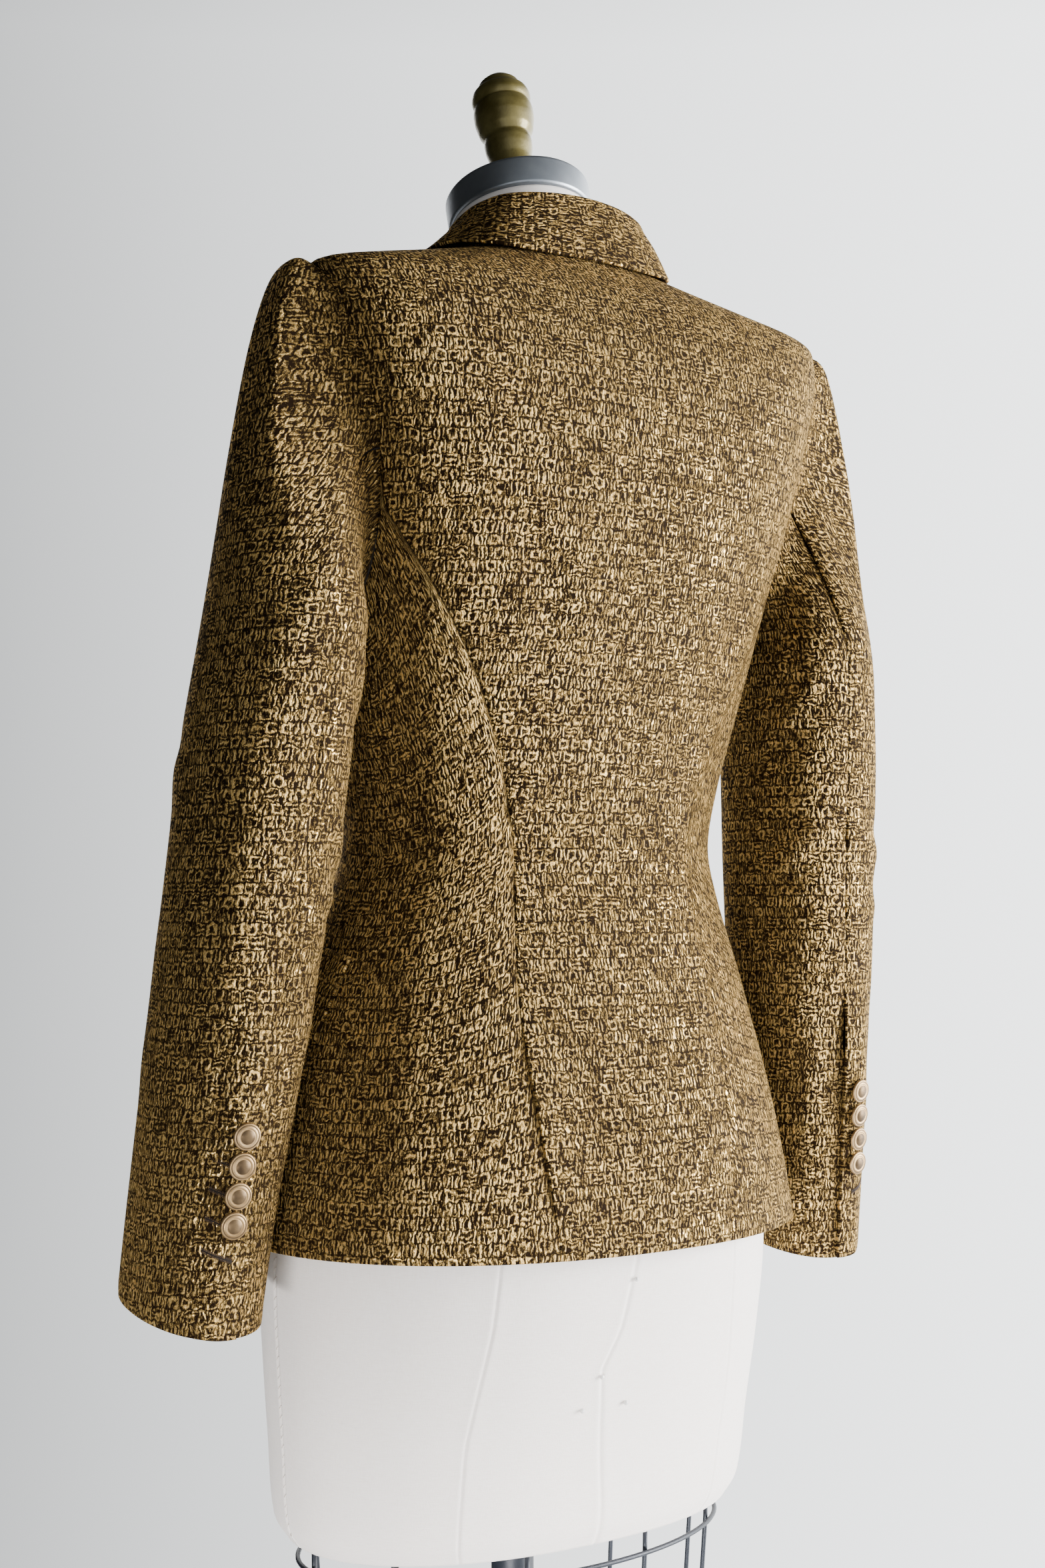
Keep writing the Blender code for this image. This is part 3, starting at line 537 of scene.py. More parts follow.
def soft_marks(across, along, marks):
    """Troughs and ridges in the cloth, in metres: each runs from one place to another."""
    push = np.zeros_like(across)
    for x0, y0, x1, y1, half, depth in marks:
        dx = x1 - x0
        dy = y1 - y0
        size = math.hypot(dx, dy)
        t = ((across - x0) * dx + (along - y0) * dy) / size**2
        off = ((across - x0) * dy - (along - y0) * dx) / size
        bend = off + half * 0.9 * np.sin(t * 3.0 + x0 * 40)
        fade = smooth((t + 0.15) / 0.4) * smooth((1.15 - t) / 0.4)
        ridge = np.exp(-(((bend - 1.9 * half) / half) ** 2))
        push += depth * fade * (np.exp(-((bend / half) ** 2)) - 0.55 * ridge)
    return push


def edge_roll(points, ends, width, depth):
    """How far the cloth turns in along its named edges."""
    push = np.zeros(points.shape[:2])
    rows = np.linalg.norm(np.diff(points, axis=1), axis=-1)
    cols = np.linalg.norm(np.diff(points, axis=0), axis=-1)
    from_left = np.concatenate((np.zeros((len(points), 1)), np.cumsum(rows, axis=1)), axis=1)
    from_low = np.concatenate((np.zeros((1, points.shape[1])), np.cumsum(cols, axis=0)), axis=0)
    far = {
        "left": from_left,
        "right": from_left[:, -1:] - from_left,
        "low": from_low,
        "high": from_low[-1:] - from_low,
    }
    for end in ends:
        push -= depth * np.exp(-((far[end] / width) ** 2))
    return push


def tweed_group():
    """The weave: crimped metal yarn in squares and bars over dark yarn, with slits between, and a mask of
    painted glints on the raised yarn.
    """
    tree, into, out = group("tweed", ("Place", "Cell"), ("Height", "Shine", "PaintedGlint"))

    def maths(kind, *values):
        return put(tree, "ShaderNodeMath", dict(enumerate(values)), operation=kind).outputs[0]

    def vectors(kind, inputs):
        return put(tree, "ShaderNodeVectorMath", inputs, operation=kind).outputs[0]

    def crinkle(wide, tall, detail, twist, socket="Fac"):
        drawn = put(tree, "ShaderNodeMapping", {"Vector": cells, "Scale": (wide, tall, 1.0)}).outputs[0]
        values = {"Vector": drawn, "Scale": 1.0, "Detail": detail, "Distortion": twist}
        return put(tree, "ShaderNodeTexNoise", values, noise_dimensions="2D").outputs[socket]

    def between(value, low, high):
        limits = {"Value": value, "From Min": low, "From Max": high}
        return put(tree, "ShaderNodeMapRange", limits).outputs["Result"]

    def wave(value):
        return maths("MULTIPLY_ADD", maths("COSINE", value), 0.5, 0.5)

    def either(value, limit, below, above):
        parts = {"Factor": maths("GREATER_THAN", value, limit), "A": below, "B": above}
        return put(tree, "ShaderNodeMix", parts).outputs["Result"]

    per_cell = maths("DIVIDE", 1.0, into.outputs["Cell"])
    cells = vectors("SCALE", {0: into.outputs["Place"], "Scale": per_cell})
    drift = vectors("SUBTRACT", {0: crinkle(1.9, 1.5, 2.0, 0.0, "Color"), 1: (0.5, 0.5, 0.5)})
    moved = vectors("ADD", {0: cells, 1: vectors("SCALE", {0: drift, "Scale": 0.62})})
    parts = put(tree, "ShaderNodeSeparateXYZ", {0: moved}).outputs
    row = maths("FLOOR", parts["Y"])
    x = maths("ADD", parts["X"], maths("MULTIPLY", maths("FLOORED_MODULO", row, 2.0), 0.5))
    col = maths("FLOOR", x)
    fx = maths("SUBTRACT", maths("SUBTRACT", x, col), 0.5)
    fy = maths("SUBTRACT", maths("SUBTRACT", parts["Y"], row), 0.5)
    far = maths("MAXIMUM", maths("ABSOLUTE", fx), maths("ABSOLUTE", fy))
    pick = put(tree, "ShaderNodeCombineXYZ", {"X": col, "Y": row, "Z": 0.0}).outputs[0]
    lot = put(tree, "ShaderNodeTexWhiteNoise", {"Vector": pick}, noise_dimensions="3D").outputs["Value"]
    squares = wave(maths("SUBTRACT", maths("MULTIPLY", far, 15.7), 4.9))
    bars = wave(maths("MULTIPLY", fx, 17.5))
    rungs = wave(maths("MULTIPLY", fy, 15.5))
    motif = either(lot, 0.86, either(lot, 0.40, squares, bars), rungs)
    strength = maths("MULTIPLY_ADD", maths("FRACT", maths("MULTIPLY", lot, 7.0)), 0.45, 0.70)
    motif = maths("MULTIPLY", maths("MULTIPLY", motif, between(far, 0.50, 0.40)), strength)
    strokes = crinkle(4.4, 1.5, 3.0, 0.8)
    crimp = crinkle(8.0, 6.0, 2.5, 1.6)
    slits = between(crinkle(4.6, 1.1, 1.5, 0.5), 0.41, 0.31)
    broad = crinkle(0.16, 0.12, 2.0, 0.0)
    body = maths("MULTIPLY_ADD", motif, 0.66, maths("MULTIPLY", strokes, 1.60))
    body = maths("ADD", body, maths("MULTIPLY_ADD", crimp, 1.05, maths("MULTIPLY", broad, 0.14)))
    height = between(maths("SUBTRACT", body, maths("MULTIPLY", slits, 0.50)), 1.38, 2.24)
    # Painted highlight: small bright spots on the high yarn stand in for glints off the metal.
    glint_spots = between(crinkle(23.0, 21.0, 1.0, 0.0), 0.50, 0.68)
    feed(out, {"Height": height, "Shine": between(height, 0.15, 0.75)})
    feed(out, {"PaintedGlint": maths("MULTIPLY", glint_spots, maths("MULTIPLY", height, height))})
    return tree


tweed = tweed_group()


def gold_cloth(name, deep, middle, light, relief):
    """The tweed in one set of colours: dark low yarn, metal yarn above it, and a painted highlight colour for
    its glints.
    """
    mat, tree, skin = blank(name)
    place = put(tree, "ShaderNodeUVMap", uv_map="weave").outputs["UV"]
    weave = put(tree, "ShaderNodeGroup", {"Place": place, "Cell": CELL}, node_tree=tweed).outputs
    ramp = put(tree, "ShaderNodeValToRGB", {"Fac": weave["Height"]})
    stops = ramp.color_ramp.elements
    stops[0].color = (*deep, 1.0)
    stops[1].color = (*middle, 1.0)
    stops.new(0.36).color = (*(0.88 * a + 0.12 * b for a, b in zip(deep, middle)), 1.0)
    # The light colour is painted highlight, mixed in as glints where the glint mask is high.
    colours = {"Factor": weave["PaintedGlint"], "A": ramp.outputs["Color"], "B": (*light, 1.0)}
    tint = put(tree, "ShaderNodeMix", colours, data_type="RGBA")
    gloss = put(tree, "ShaderNodeMapRange", {"Value": weave["Shine"], "To Min": 0.85, "To Max": 0.40})
    metal = put(tree, "ShaderNodeMapRange", {"Value": weave["Shine"], "To Min": 0.2, "To Max": 1.0})
    bump = put(tree, "ShaderNodeBump", {"Height": weave["Height"], "Distance": relief, "Strength": 1.0})
    feed(skin, {"Base Color": tint.outputs["Result"], "Roughness": gloss.outputs["Result"]})
    feed(skin, {"Metallic": metal.outputs["Result"], "Normal": bump.outputs["Normal"]})
    feed(skin, {"Specular IOR Level": 0.2, "Specular Tint": (0.86, 0.68, 0.42, 1.0)})
    return mat


# The third colour of each is a painted highlight colour for the weave's glints.
gold = gold_cloth("gold_tweed", (0.009, 0.0035, 0.0012), (0.90, 0.54, 0.135), (1.0, 0.88, 0.52), 0.0015)
inside = gold_cloth("tweed_inside", (0.022, 0.010, 0.005), (0.13, 0.065, 0.026), (0.30, 0.19, 0.09), 0.0006)


def shell(name, outer, facing, node, rest, twin=None, lay=None):
    """A thin closed cloth shell on a grid of points, with soft edges and its weave laid along it."""
    rows, cols = outer.shape[:2]
    across = np.gradient(outer, axis=1)
    up = np.gradient(outer, axis=0)
    normal = unit(np.cross(across, up))
    flipped = np.sum(normal * facing) < 0
    if flipped:
        normal = -normal
    rim_out = np.zeros_like(outer)
    rim_out[:, 0] -= unit(across[:, 0])
    rim_out[:, -1] += unit(across[:, -1])
    rim_out[0] -= unit(up[0])
    rim_out[-1] += unit(up[-1])
    edge = outer - normal * CLOTH / 2 + rim_out * CLOTH * 0.3
    index = np.arange(rows * cols).reshape(rows, cols)
    border = [*index[0], *index[1:, -1], *index[-1, -2::-1], *index[-2:0:-1, 0]]
    points = [layer.reshape(-1, 3) for layer in (outer, outer - normal * CLOTH, edge)]
    points[2] = points[2][border]
    points = np.concatenate(points)
    size = rows * cols
    quads = np.stack((index[:-1, :-1], index[:-1, 1:], index[1:, 1:], index[1:, :-1]), axis=-1)
    quads = quads.reshape(-1, 4)
    faces = quads.tolist() + (quads[:, ::-1] + size).tolist()
    rim = range(2 * size, 2 * size + len(border))
    for k, (a, c) in enumerate(zip(border, rim)):
        b = border[k + 1 - len(border)]
        d = rim[k + 1 - len(border)]
        faces += [(int(b), int(a), c, d), (d, c, int(size + a), int(size + b))]
    if flipped:
        faces = [face[::-1] for face in faces]
    run = np.cumsum(np.linalg.norm(np.diff(outer, axis=1, prepend=outer[:, :1]), axis=-1), axis=1)
    spine = outer[:, cols // 2]
    rise = np.cumsum(np.linalg.norm(np.diff(spine, axis=0, prepend=spine[:1]), axis=-1))
    u, v = lay or (run - run[:, cols // 2][:, None], np.repeat(rise[:, None], cols, axis=1))
    laid = np.stack((u, v), axis=-1).reshape(-1, 2)
    laid = np.concatenate((laid, laid, laid[border]))
    layers = np.zeros(len(faces), dtype=np.int32)
    layers[len(quads) : 2 * len(quads)] = 1
    for side, label in ((1, name), (-1, twin)):
        if label is None:
            continue
        walls = faces if side > 0 else [face[::-1] for face in faces]
        piece = build(label, points * (side, 1, 1), walls, gold, inside)
        corner = np.empty(len(piece.data.loops), dtype=np.int32)
        piece.data.loops.foreach_get("vertex_index", corner)
        places = laid[corner] * (side, 1) + 0.5
        piece.data.uv_layers.new(name="weave").data.foreach_set("uv", places.reshape(-1).astype(np.float32))
        piece.data.polygons.foreach_set("material_index", layers)
        own, near = [word if side > 0 else word.replace("_left", "_right") for word in (node, rest)]
        stands_for(own)


def hole_heights(start, count):
    """Heights up the armhole's edge, from just above a start to just under its top."""
    first = math.degrees(math.acos((start - HOLE_Z) / HOLE_H)) - 1.5
    return HOLE_Z + HOLE_H * np.cos(np.radians(np.linspace(first, 3.0, count)))


def hem_ridge(z):
    """The low ridge over the inner edge of the turned-up hem."""
    return 0.0005 * np.exp(-(((z - HEM - 0.034) / 0.010) ** 2))


def body_edges(face, z):
    """The body's seams and hem, turned in and pressed."""
    rolled = edge_roll(face, ("left", "right"), 0.0026, 0.0005) + edge_roll(face, ("low",), 0.0035, 0.0006)
    return rolled + hem_ridge(z)


back_top = float(hole_low(HOLE_BACK))
beside = hole_heights(back_top, 44)
z = np.concatenate((np.linspace(HEM, back_top, 104), beside, np.linspace(HOLE_TOP, NAPE, 18)))
above = np.where(z < HOLE_Z + HOLE_H, 90 + hole_turn(z), 90.0)
edge = np.where(z <= back_top, at(BACK_SEAM, z)[:, 1], above)
edge = edge + side_gap(z, edge)
share = np.linspace(0, 1, 97)
turn = edge[:, None] + (360 - 2 * edge[:, None]) * share
z = np.repeat(z[:, None], len(share), axis=1)
face = face_point(z, turn)
BACK_MARKS = (
    (-0.075, 1.118, 0.06, 1.104, 0.0085, 0.0016),
    (-0.02, 1.083, 0.085, 1.092, 0.011, -0.0013),
    (0.04, 1.146, 0.094, 1.128, 0.008, 0.0012),
    (-0.096, 1.29, -0.06, 1.215, 0.013, -0.0017),
    (0.088, 1.3, 0.052, 1.21, 0.014, -0.0016),
    (-0.03, 1.01, -0.052, 0.905, 0.018, 0.0018),
    (0.052, 1.0, 0.072, 0.89, 0.016, 0.0014),
    (0.006, 0.985, 0.012, 0.88, 0.015, -0.0012),
)
push = soft_marks((180 - turn) * DEGREE_RUN, z, BACK_MARKS) * smooth((1.42 - z) / 0.06)
push += body_edges(face, z)
away = outward(z, turn)
shell("blazer_back", face + away * push[..., None], away, "back", "linen_form")

# Sides: one piece under each arm, between the back's shaped seam and the front's seam. Its top
# is the lower part of the armhole.
FRONT_SEAM = (
    (0.872, 56.0),
    (0.99, 56.0),
    (1.108, 55.0),
    (1.2, 58.0),
    (1.28862, HOLE_FRONT),
)
share = 0.5 - 0.5 * np.cos(math.pi * np.linspace(0, 1, 61))
climb = np.linspace(0, 1, 112)[:, None]
rim = HOLE_FRONT + (HOLE_BACK - HOLE_FRONT) * share
top = hole_low(rim) - 0.0004 * (np.abs(share - 0.5) < 0.499)
z = HEM + (top[None, :] - HEM) * climb
first = at(FRONT_SEAM, z)[..., 1]
last = at(BACK_SEAM, z)[..., 1]
top_first = at(FRONT_SEAM, top)[:, 1]
rim_share = (rim - top_first) / (at(BACK_SEAM, top)[:, 1] - top_first)
rim_share[0] = 0.0
rim_share[-1] = 1.0
first = first + side_gap(z, first)
last = last - side_gap(z, last)
turn = first + (last - first) * (share + (rim_share - share) * climb**3)
face = face_point(z, turn)
SIDE_MARKS = (
    (-0.02, 1.125, 0.06, 1.1, 0.008, 0.0014),
    (0.01, 1.085, 0.07, 1.1, 0.009, -0.0011),
    (0.015, 1.225, 0.03, 1.15, 0.011, 0.0014),
    (0.02, 1.03, 0.012, 0.9, 0.016, 0.0015),
    (0.074, 1.01, 0.092, 0.9, 0.014, -0.0013),
)
push = soft_marks((turn - 90) * DEGREE_RUN, z, SIDE_MARKS) + body_edges(face, z)
away = outward(z, turn)
panel = face + away * push[..., None]
size = (0.23, 0.46)
shell("blazer_side_left", panel, away, "side_left", "linen_form", twin="blazer_side_right")

# Fronts: from the side seam to the middle, where the right laps over the left. Each runs up from
# the hem to the roll of its lapel, the armhole and the shoulder.
BREAK_Z = 1.115
LAP = 0.014
LAP_RISE = CLOTH + 0.0008
LAPEL_LOW = 1.176
SHOULDER = 1.466
NECK_FROM = 1.450
NECK_CLIMB = 0.0085


def roll_x(z):
    """How far the lapel's roll stands from the middle, at a height."""
    return -LAP + (z - BREAK_Z) / (1.468 - BREAK_Z) * (0.074 + LAP)


def turn_at_x(z, x):
    row = at(JACKET, z)
    part = np.minimum(np.abs(x) / row[..., 1], 1.0)
    return np.copysign(np.degrees(np.arcsin(part ** (row[..., 5] / 2))), x)


front_top = float(hole_low(HOLE_FRONT))
beside = hole_heights(front_top, 48)
z = np.concatenate((np.linspace(HEM, front_top, 100), beside, np.linspace(HOLE_TOP, SHOULDER, 12)))
above = np.where(z < HOLE_Z + HOLE_H, 90 - hole_turn(z), 90.0)
last = np.where(z <= front_top, at(FRONT_SEAM, z)[:, 1], above)
last = last - side_gap(z, last)
first = turn_at_x(z, np.where(z < BREAK_Z, -LAP, roll_x(z)))
share = np.linspace(0, 1, 61)
turn = first[:, None] + (last - first)[:, None] * share
z = np.repeat(z[:, None], len(share), axis=1)
near_neck = np.clip((z - NECK_FROM) / (SHOULDER - NECK_FROM), 0, 1)
z = z + NECK_CLIMB * np.clip((share - 1 / 3) * 1.5, 0, 1) * near_neck
face = face_point(z, turn)
FRONT_MARKS = (
    (0.02, 1.112, 0.09, 1.124, 0.009, 0.0015),
    (0.03, 1.08, 0.085, 1.06, 0.01, -0.0012),
    (0.095, 1.215, 0.07, 1.165, 0.011, -0.0014),
    (0.06, 0.985, 0.066, 0.885, 0.017, 0.0014),
)
away = outward(z, turn)
push = soft_marks(np.abs(face[..., 0]), z, FRONT_MARKS) + hem_ridge(z)
push += edge_roll(face, ("right",), 0.0030, 0.0007) + edge_roll(face, ("low", "left"), 0.0035, 0.0006)
tuck = smooth((0.042 - face[..., 0]) / 0.022) * smooth((LAPEL_LOW + 0.025 - z) / 0.02) * LAP_RISE
left = face + away * (push - tuck)[..., None]
shell("blazer_front_left", left, away, "front_left", "linen_form")
flip = np.array((-1.0, 1.0, 1.0))
right = ((face + away * push[..., None]) * flip)[:, ::-1]
shell("blazer_front_right", right, (away * flip)[:, ::-1], "front_right", "linen_form")

# Lapels: the fronts' own edges, turned back along the roll and pressed. Each lies a little off
# its front and ends in a notch below the collar.
LAPEL = ((1.16, 0.004), (1.18, 0.016), (1.22, 0.034), (1.29, 0.053), (1.35, 0.063), (1.385, 0.066))
lapel_start = HEM + (front_top - HEM) * 11 / 15
notch = HOLE_Z + HOLE_H * math.cos(math.radians(64))
share = np.linspace(0, 1, 29)
z = np.repeat(np.linspace(lapel_start, notch, 64)[:, None], len(share), axis=1)
turn = turn_at_x(z, roll_x(z) + 0.0008 + at(LAPEL, z)[..., 1] * share)
lift = np.broadcast_to(0.0010 + 0.0008 * np.sin(math.pi * share) + CLOTH, z.shape)
away = outward(z, turn)
flap = face_point(z, turn) + away * lift[..., None]
flap += away * edge_roll(flap, ("left", "right", "high", "low"), 0.0030, 0.0004)[..., None]
size = (0.068, 0.215)
below = "blazer_front_left"
shell("blazer_lapel_left", flap, away, "lapel_left", below, "blazer_lapel_right")

# Collar: cut in one piece, with a stand that rises from the neck seam and a fall that turns over
# it. Its front ends meet the lapels at the notches.
COLLAR = (
    (0.0, 0.0545, -0.0575, 1.3885, 0.0548, -0.061, 1.39, 0.098, -0.049, 1.396),
    (1.0, 0.0612, -0.0215, 1.4385, 0.061, -0.0238, 1.4445, 0.0945, -0.0145, 1.443),
    (1.5, 0.0626, -0.0085, 1.4575, 0.0613, -0.01, 1.4655, 0.092, -0.003, 1.4605),
    (2.0, 0.065, 0.012, 1.47, 0.0625, 0.01, 1.48, 0.089, 0.016, 1.4715),
    (3.0, 0.0668, 0.042, 1.4765, 0.062, 0.04, 1.4965, 0.082, 0.05, 1.4765),
    (4.0, 0.057, 0.0655, 1.4765, 0.0525, 0.0625, 1.504, 0.067, 0.079, 1.4715),
    (5.0, 0.033, 0.0782, 1.4765, 0.0305, 0.075, 1.507, 0.038, 0.0925, 1.468),
    (6.0, 0.0, 0.0822, 1.4765, 0.0, 0.0785, 1.5085, 0.0, 0.097, 1.4675),
)
far = [(12 - r[0], -r[1], r[2], r[3], -r[4], r[5], r[6], -r[7], r[8], r[9]) for r in COLLAR[-2::-1]]
table = list(COLLAR) + far
half = 0.0030
up = np.array((0.0, 0.0, 1.0))
lines = []
ways = []
for t in np.linspace(0.0, 12.0, 145):
    row = at(table, t)
    seat, fold, end = row[1:4], row[4:7], row[7:10]
    out = end - seat
    out[2] = 0
    out /= np.linalg.norm(out)
    rise = np.linalg.norm(fold - seat)
    turn_over = fold + out * half * 2.2 - up * 0.0030
    knots = [seat, seat * 0.5 + fold * 0.5 - out * 0.0004, fold - up * min(0.004, rise * 0.3)]
    knots += [fold + out * half * 0.35 + up * 0.0016, fold + out * half * 1.5 + up * 0.0014, turn_over]
    knots += [turn_over * 0.66 + end * 0.34 + out * 0.0012, turn_over * 0.33 + end * 0.67 + out * 0.0008, end]
    reach = np.cumsum(np.linalg.norm(np.diff(knots, axis=0, prepend=[seat]), axis=1))
    line = at(np.column_stack((reach / reach[-1], knots)), np.linspace(0, 1, 41))[:, 1:]
    facing = unit(np.cross(np.gradient(line, axis=0), (-out[1], out[0], 0.0)))
    lines.append(line + facing * CLOTH / 2)
    ways.append(facing)
size = (0.40, 0.075)
shell("blazer_collar", np.array(lines), np.array(ways), "collar", "blazer_back")

# Sleeves: each in two pieces, an upper and an under, set into the armhole with a full head. The
# back seam is left open at the cuff, where the upper laps over the under.
SLEEVE = (
    (1.228, 0.1935, 0.055, 0.043, 0.06),
    (1.166, 0.2001, 0.049, 0.0454, 0.058),
    (1.104, 0.2051, 0.043, 0.0454, 0.056),
    (1.04, 0.2112, 0.036, 0.0438, 0.0545),
    (0.97, 0.2175, 0.027, 0.0415, 0.053),
    (0.9, 0.2235, 0.017, 0.039, 0.052),
    (0.843, 0.227, 0.009, 0.038, 0.0515),
)
SLEEVE_TOP = SLEEVE[0][0]
SLEEVE_END = SLEEVE[-1][0]
SLEEVE_HEAD = (0.86, 0.0, 0.45)
FRONT_LINE = 232.0
BACK_LINE = 96.0
VENT_TOP = 0.975
CAP = 0.34


def hole_place(v):
    """Height and bearing of the armhole's edge, at degrees from its top."""
    z = HOLE_Z + HOLE_H * np.cos(np.radians(v))
    return z, 90 + np.where((v > 180) & (v <= 360), -1, 1) * hole_turn(z)


def hole_frame(v):
    """The armhole's edge at degrees from its top, with the face's normal and the way in."""
    point = face_point(*hole_place(v))
    normal = outward(*hole_place(v))
    into = unit(np.cross(face_point(*hole_place(v + 4)) - point, normal))
    ahead = np.sum(into * (np.array((0.17, 0.05, HOLE_Z)) - point), axis=-1, keepdims=True)
    return point, normal, np.where(ahead < 0, -into, into)


def under_arm(v):
    return 1 - smooth((np.abs(v - 180) - 15) / 75)


def over_shoulder(v, half):
    return smooth(1 - np.abs((v + 180) % 360 - 180) / half)


def vent_rise(v, z):
    """How far the upper sleeve lifts over the under one, beside the opening at the cuff."""
    return LAP_RISE * smooth((v - (BACK_LINE - 38)) / 26) * smooth((VENT_TOP + 0.05 - z) / 0.05)


def sleeve_ring(z, v):
    row = at(SLEEVE, z)
    x = row[..., 1] + row[..., 3] * bowed(np.cos(np.radians(v)), 0.92)
    y = row[..., 2] + row[..., 4] * bowed(np.sin(np.radians(v)), 0.92)
    return np.stack(np.broadcast_arrays(x, y, z), axis=-1)


def sleeve_point(v, s):
    """The sleeve's face at degrees round it, and at a share of its length from head to cuff."""
    v, s = paired(np.asarray(v) % 360, s)
    low = SLEEVE_END - 0.010 * np.cos(np.radians(v - 100))
    arm = sleeve_ring(SLEEVE_TOP + (low - SLEEVE_TOP) * np.clip((s - CAP) / (1 - CAP), 0, 1), v)
    point, normal, into = hole_frame(v)
    under = under_arm(v)[..., None]
    leave = unit(into * (1 - under) + normal * under)
    head = over_shoulder(v, 72)[..., None]
    leave = unit(leave * (1 - head) + np.array(SLEEVE_HEAD) * head)
    start = point + into * 0.0006 + np.array((0, 0, 0.0004)) * head
    end = sleeve_ring(np.full_like(v, SLEEVE_TOP), v)
    below = sleeve_ring(np.full_like(v, SLEEVE_TOP - 0.004), v)
    t = np.clip(s / CAP, 0, 1)[..., None]
    reach = np.linalg.norm(end - start, axis=-1, keepdims=True)
    first = leave * (reach * (0.55 - 0.15 * head) + 0.012)
    last = (below - end) / 0.004 * reach * (0.95 + 0.65 * head)
    return np.where(s[..., None] >= CAP, arm, curve(t, start, first, end, last))


def sleeve_inward(v, s):
    v, s = paired(np.asarray(v) % 360, s)
    _, normal, into = hole_frame(v)
    under = under_arm(v)[..., None]
    first = unit(-normal * (1 - under) + into * under)
    ds = np.where(s < 0.99, 0.004, -0.004)
    here = sleeve_point(v, s)
    along = (sleeve_point(v, s + ds) - here) / ds[..., None]
    n = unit(np.cross(along, sleeve_point(v + 3, s) - sleeve_point(v - 3, s)))
    centre = np.mean([sleeve_point(np.full_like(v, k), s) for k in (0, 90, 180, 270)], axis=0)
    n = np.where(np.sum(n * (centre - here), axis=-1, keepdims=True) < 0, -n, n)
    k = smooth(s / 0.05)[..., None]
    return unit(first * (1 - k) + n * k)


def sleeve_grid(start, end, cols, open_edge, marks):
    """One sleeve piece between two lines: its face, the way out of it, and how its weave lies."""
    s = np.concatenate((np.linspace(0, 0.03, 6), np.linspace(0.038, 0.34, 44), np.linspace(0.346, 1.0, 96)))
    s, share = np.meshgrid(s, np.linspace(0, 1, cols), indexing="ij")
    v = start + (end - start) * share
    z = sleeve_point(v, s)[..., 2]
    trim = math.degrees(SEAM_HALF / 0.045) * (1 + 1.2 * (1 - smooth((s - 0.2) / 0.1)))
    v = v + trim * (1 - 2 * share) * (np.abs(share - 0.5) > 0.4999)
    lift = np.zeros_like(v)
    if open_edge:
        lift = vent_rise(v, z)
    else:
        v = v - 10.0 * smooth((VENT_TOP - z) / 0.012) * (1 - share) ** 6
    points = sleeve_point(v, s)
    inward = sleeve_inward(v, s)
    push = soft_marks((v - 60) * 0.00085, z, marks)
    push += edge_roll(points, ("left", "right"), 0.0030, 0.0006)
    push += edge_roll(points, ("high",), 0.0035, 0.0006)
    push -= 0.0009 * np.exp(-((s / 0.012) ** 2))
    head = over_shoulder(v, 80)
    push += 0.0016 * head * np.exp(-(((s - 0.050) / 0.040) ** 2))
    outer = (points - inward * (lift + push)[..., None])[::-1]
    climb = np.cumsum(np.linalg.norm(np.diff(outer, axis=0, prepend=outer[:1]), axis=-1), axis=0)
    climb = climb + outer[:1, :, 2]
    rise = outer[..., 2]
    shoulder = smooth((rise - SLEEVE_TOP) / 0.13)
    arm = at(SLEEVE, rise)
    middle_x = arm[..., 1] + (0.150 - arm[..., 1]) * shoulder
    middle_y = arm[..., 2] + (0.057 - arm[..., 2]) * shoulder
    bearing = np.degrees(np.arctan2(outer[..., 1] - middle_y, outer[..., 0] - middle_x))
    if not open_edge:
        bearing = bearing % 360
    over = head[::-1] * shoulder
    return outer, -inward[::-1], (bearing * 0.00088, rise + over * (climb - rise))


UPPER_MARKS = (
    (-0.03, 1.33, -0.012, 1.23, 0.011, -0.0018),
    (0.01, 1.345, 0.022, 1.24, 0.01, 0.0018),
    (0.03, 1.13, -0.02, 1.094, 0.009, 0.0017),
    (0.032, 1.076, -0.01, 1.062, 0.008, 0.0013),
    (-0.06, 1.15, -0.1, 1.118, 0.009, 0.0015),
    (0.012, 1.01, 0.004, 0.93, 0.013, 0.0012),
    (-0.095, 1.06, -0.07, 0.97, 0.012, 0.0013),
)
UNDER_MARKS = (
    (0.045, 1.215, 0.095, 1.185, 0.008, 0.0016),
    (0.04, 1.12, 0.09, 1.098, 0.008, 0.0017),
    (0.055, 1.075, 0.1, 1.082, 0.007, 0.0013),
    (0.07, 1.02, 0.066, 0.93, 0.012, 0.0012),
)
for part, start, end, cols, marks, node, size, area in (
    ("top", FRONT_LINE - 360, BACK_LINE, 89, UPPER_MARKS, "sleeve_upper_left", (0.22, 0.62), 0.099),
    ("below", BACK_LINE, FRONT_LINE, 55, UNDER_MARKS, "sleeve_under_left", (0.14, 0.50), 0.0526),
):
    grid, away, lay = sleeve_grid(start, end, cols, part == "top", marks)
    name = f"sleeve_{part}_left"
    twin = f"sleeve_{part}_right"
    shell(name, grid, away, node, "blazer_side_left", twin=twin, lay=lay)

# Pocket flaps: double cloth, sewn in along the top and pressed flat against the hip. They slant
# down towards the back and stand a little open at their lower edge.
t, share = np.meshgrid(np.linspace(0, 1, 25), np.linspace(0, 1, 57), indexing="ij")
z = 1.040 + 0.020 * (1 - share) - 0.048 * t
turn = 46 + 57.5 * share + (2.0 - 6.0 * share) * t
away = outward(z, turn)
flap = face_point(z, turn) + away * (0.0012 + 0.0014 * t + CLOTH)[..., None]
flap += away * edge_roll(flap, ("left", "right", "high"), 0.0030, 0.0006)[..., None]
flap, away = flap[::-1], away[::-1]
size = (0.135, 0.052)
shell("blazer_flap_left", flap, away, "flap_left", "blazer_side_left", twin="blazer_flap_right")

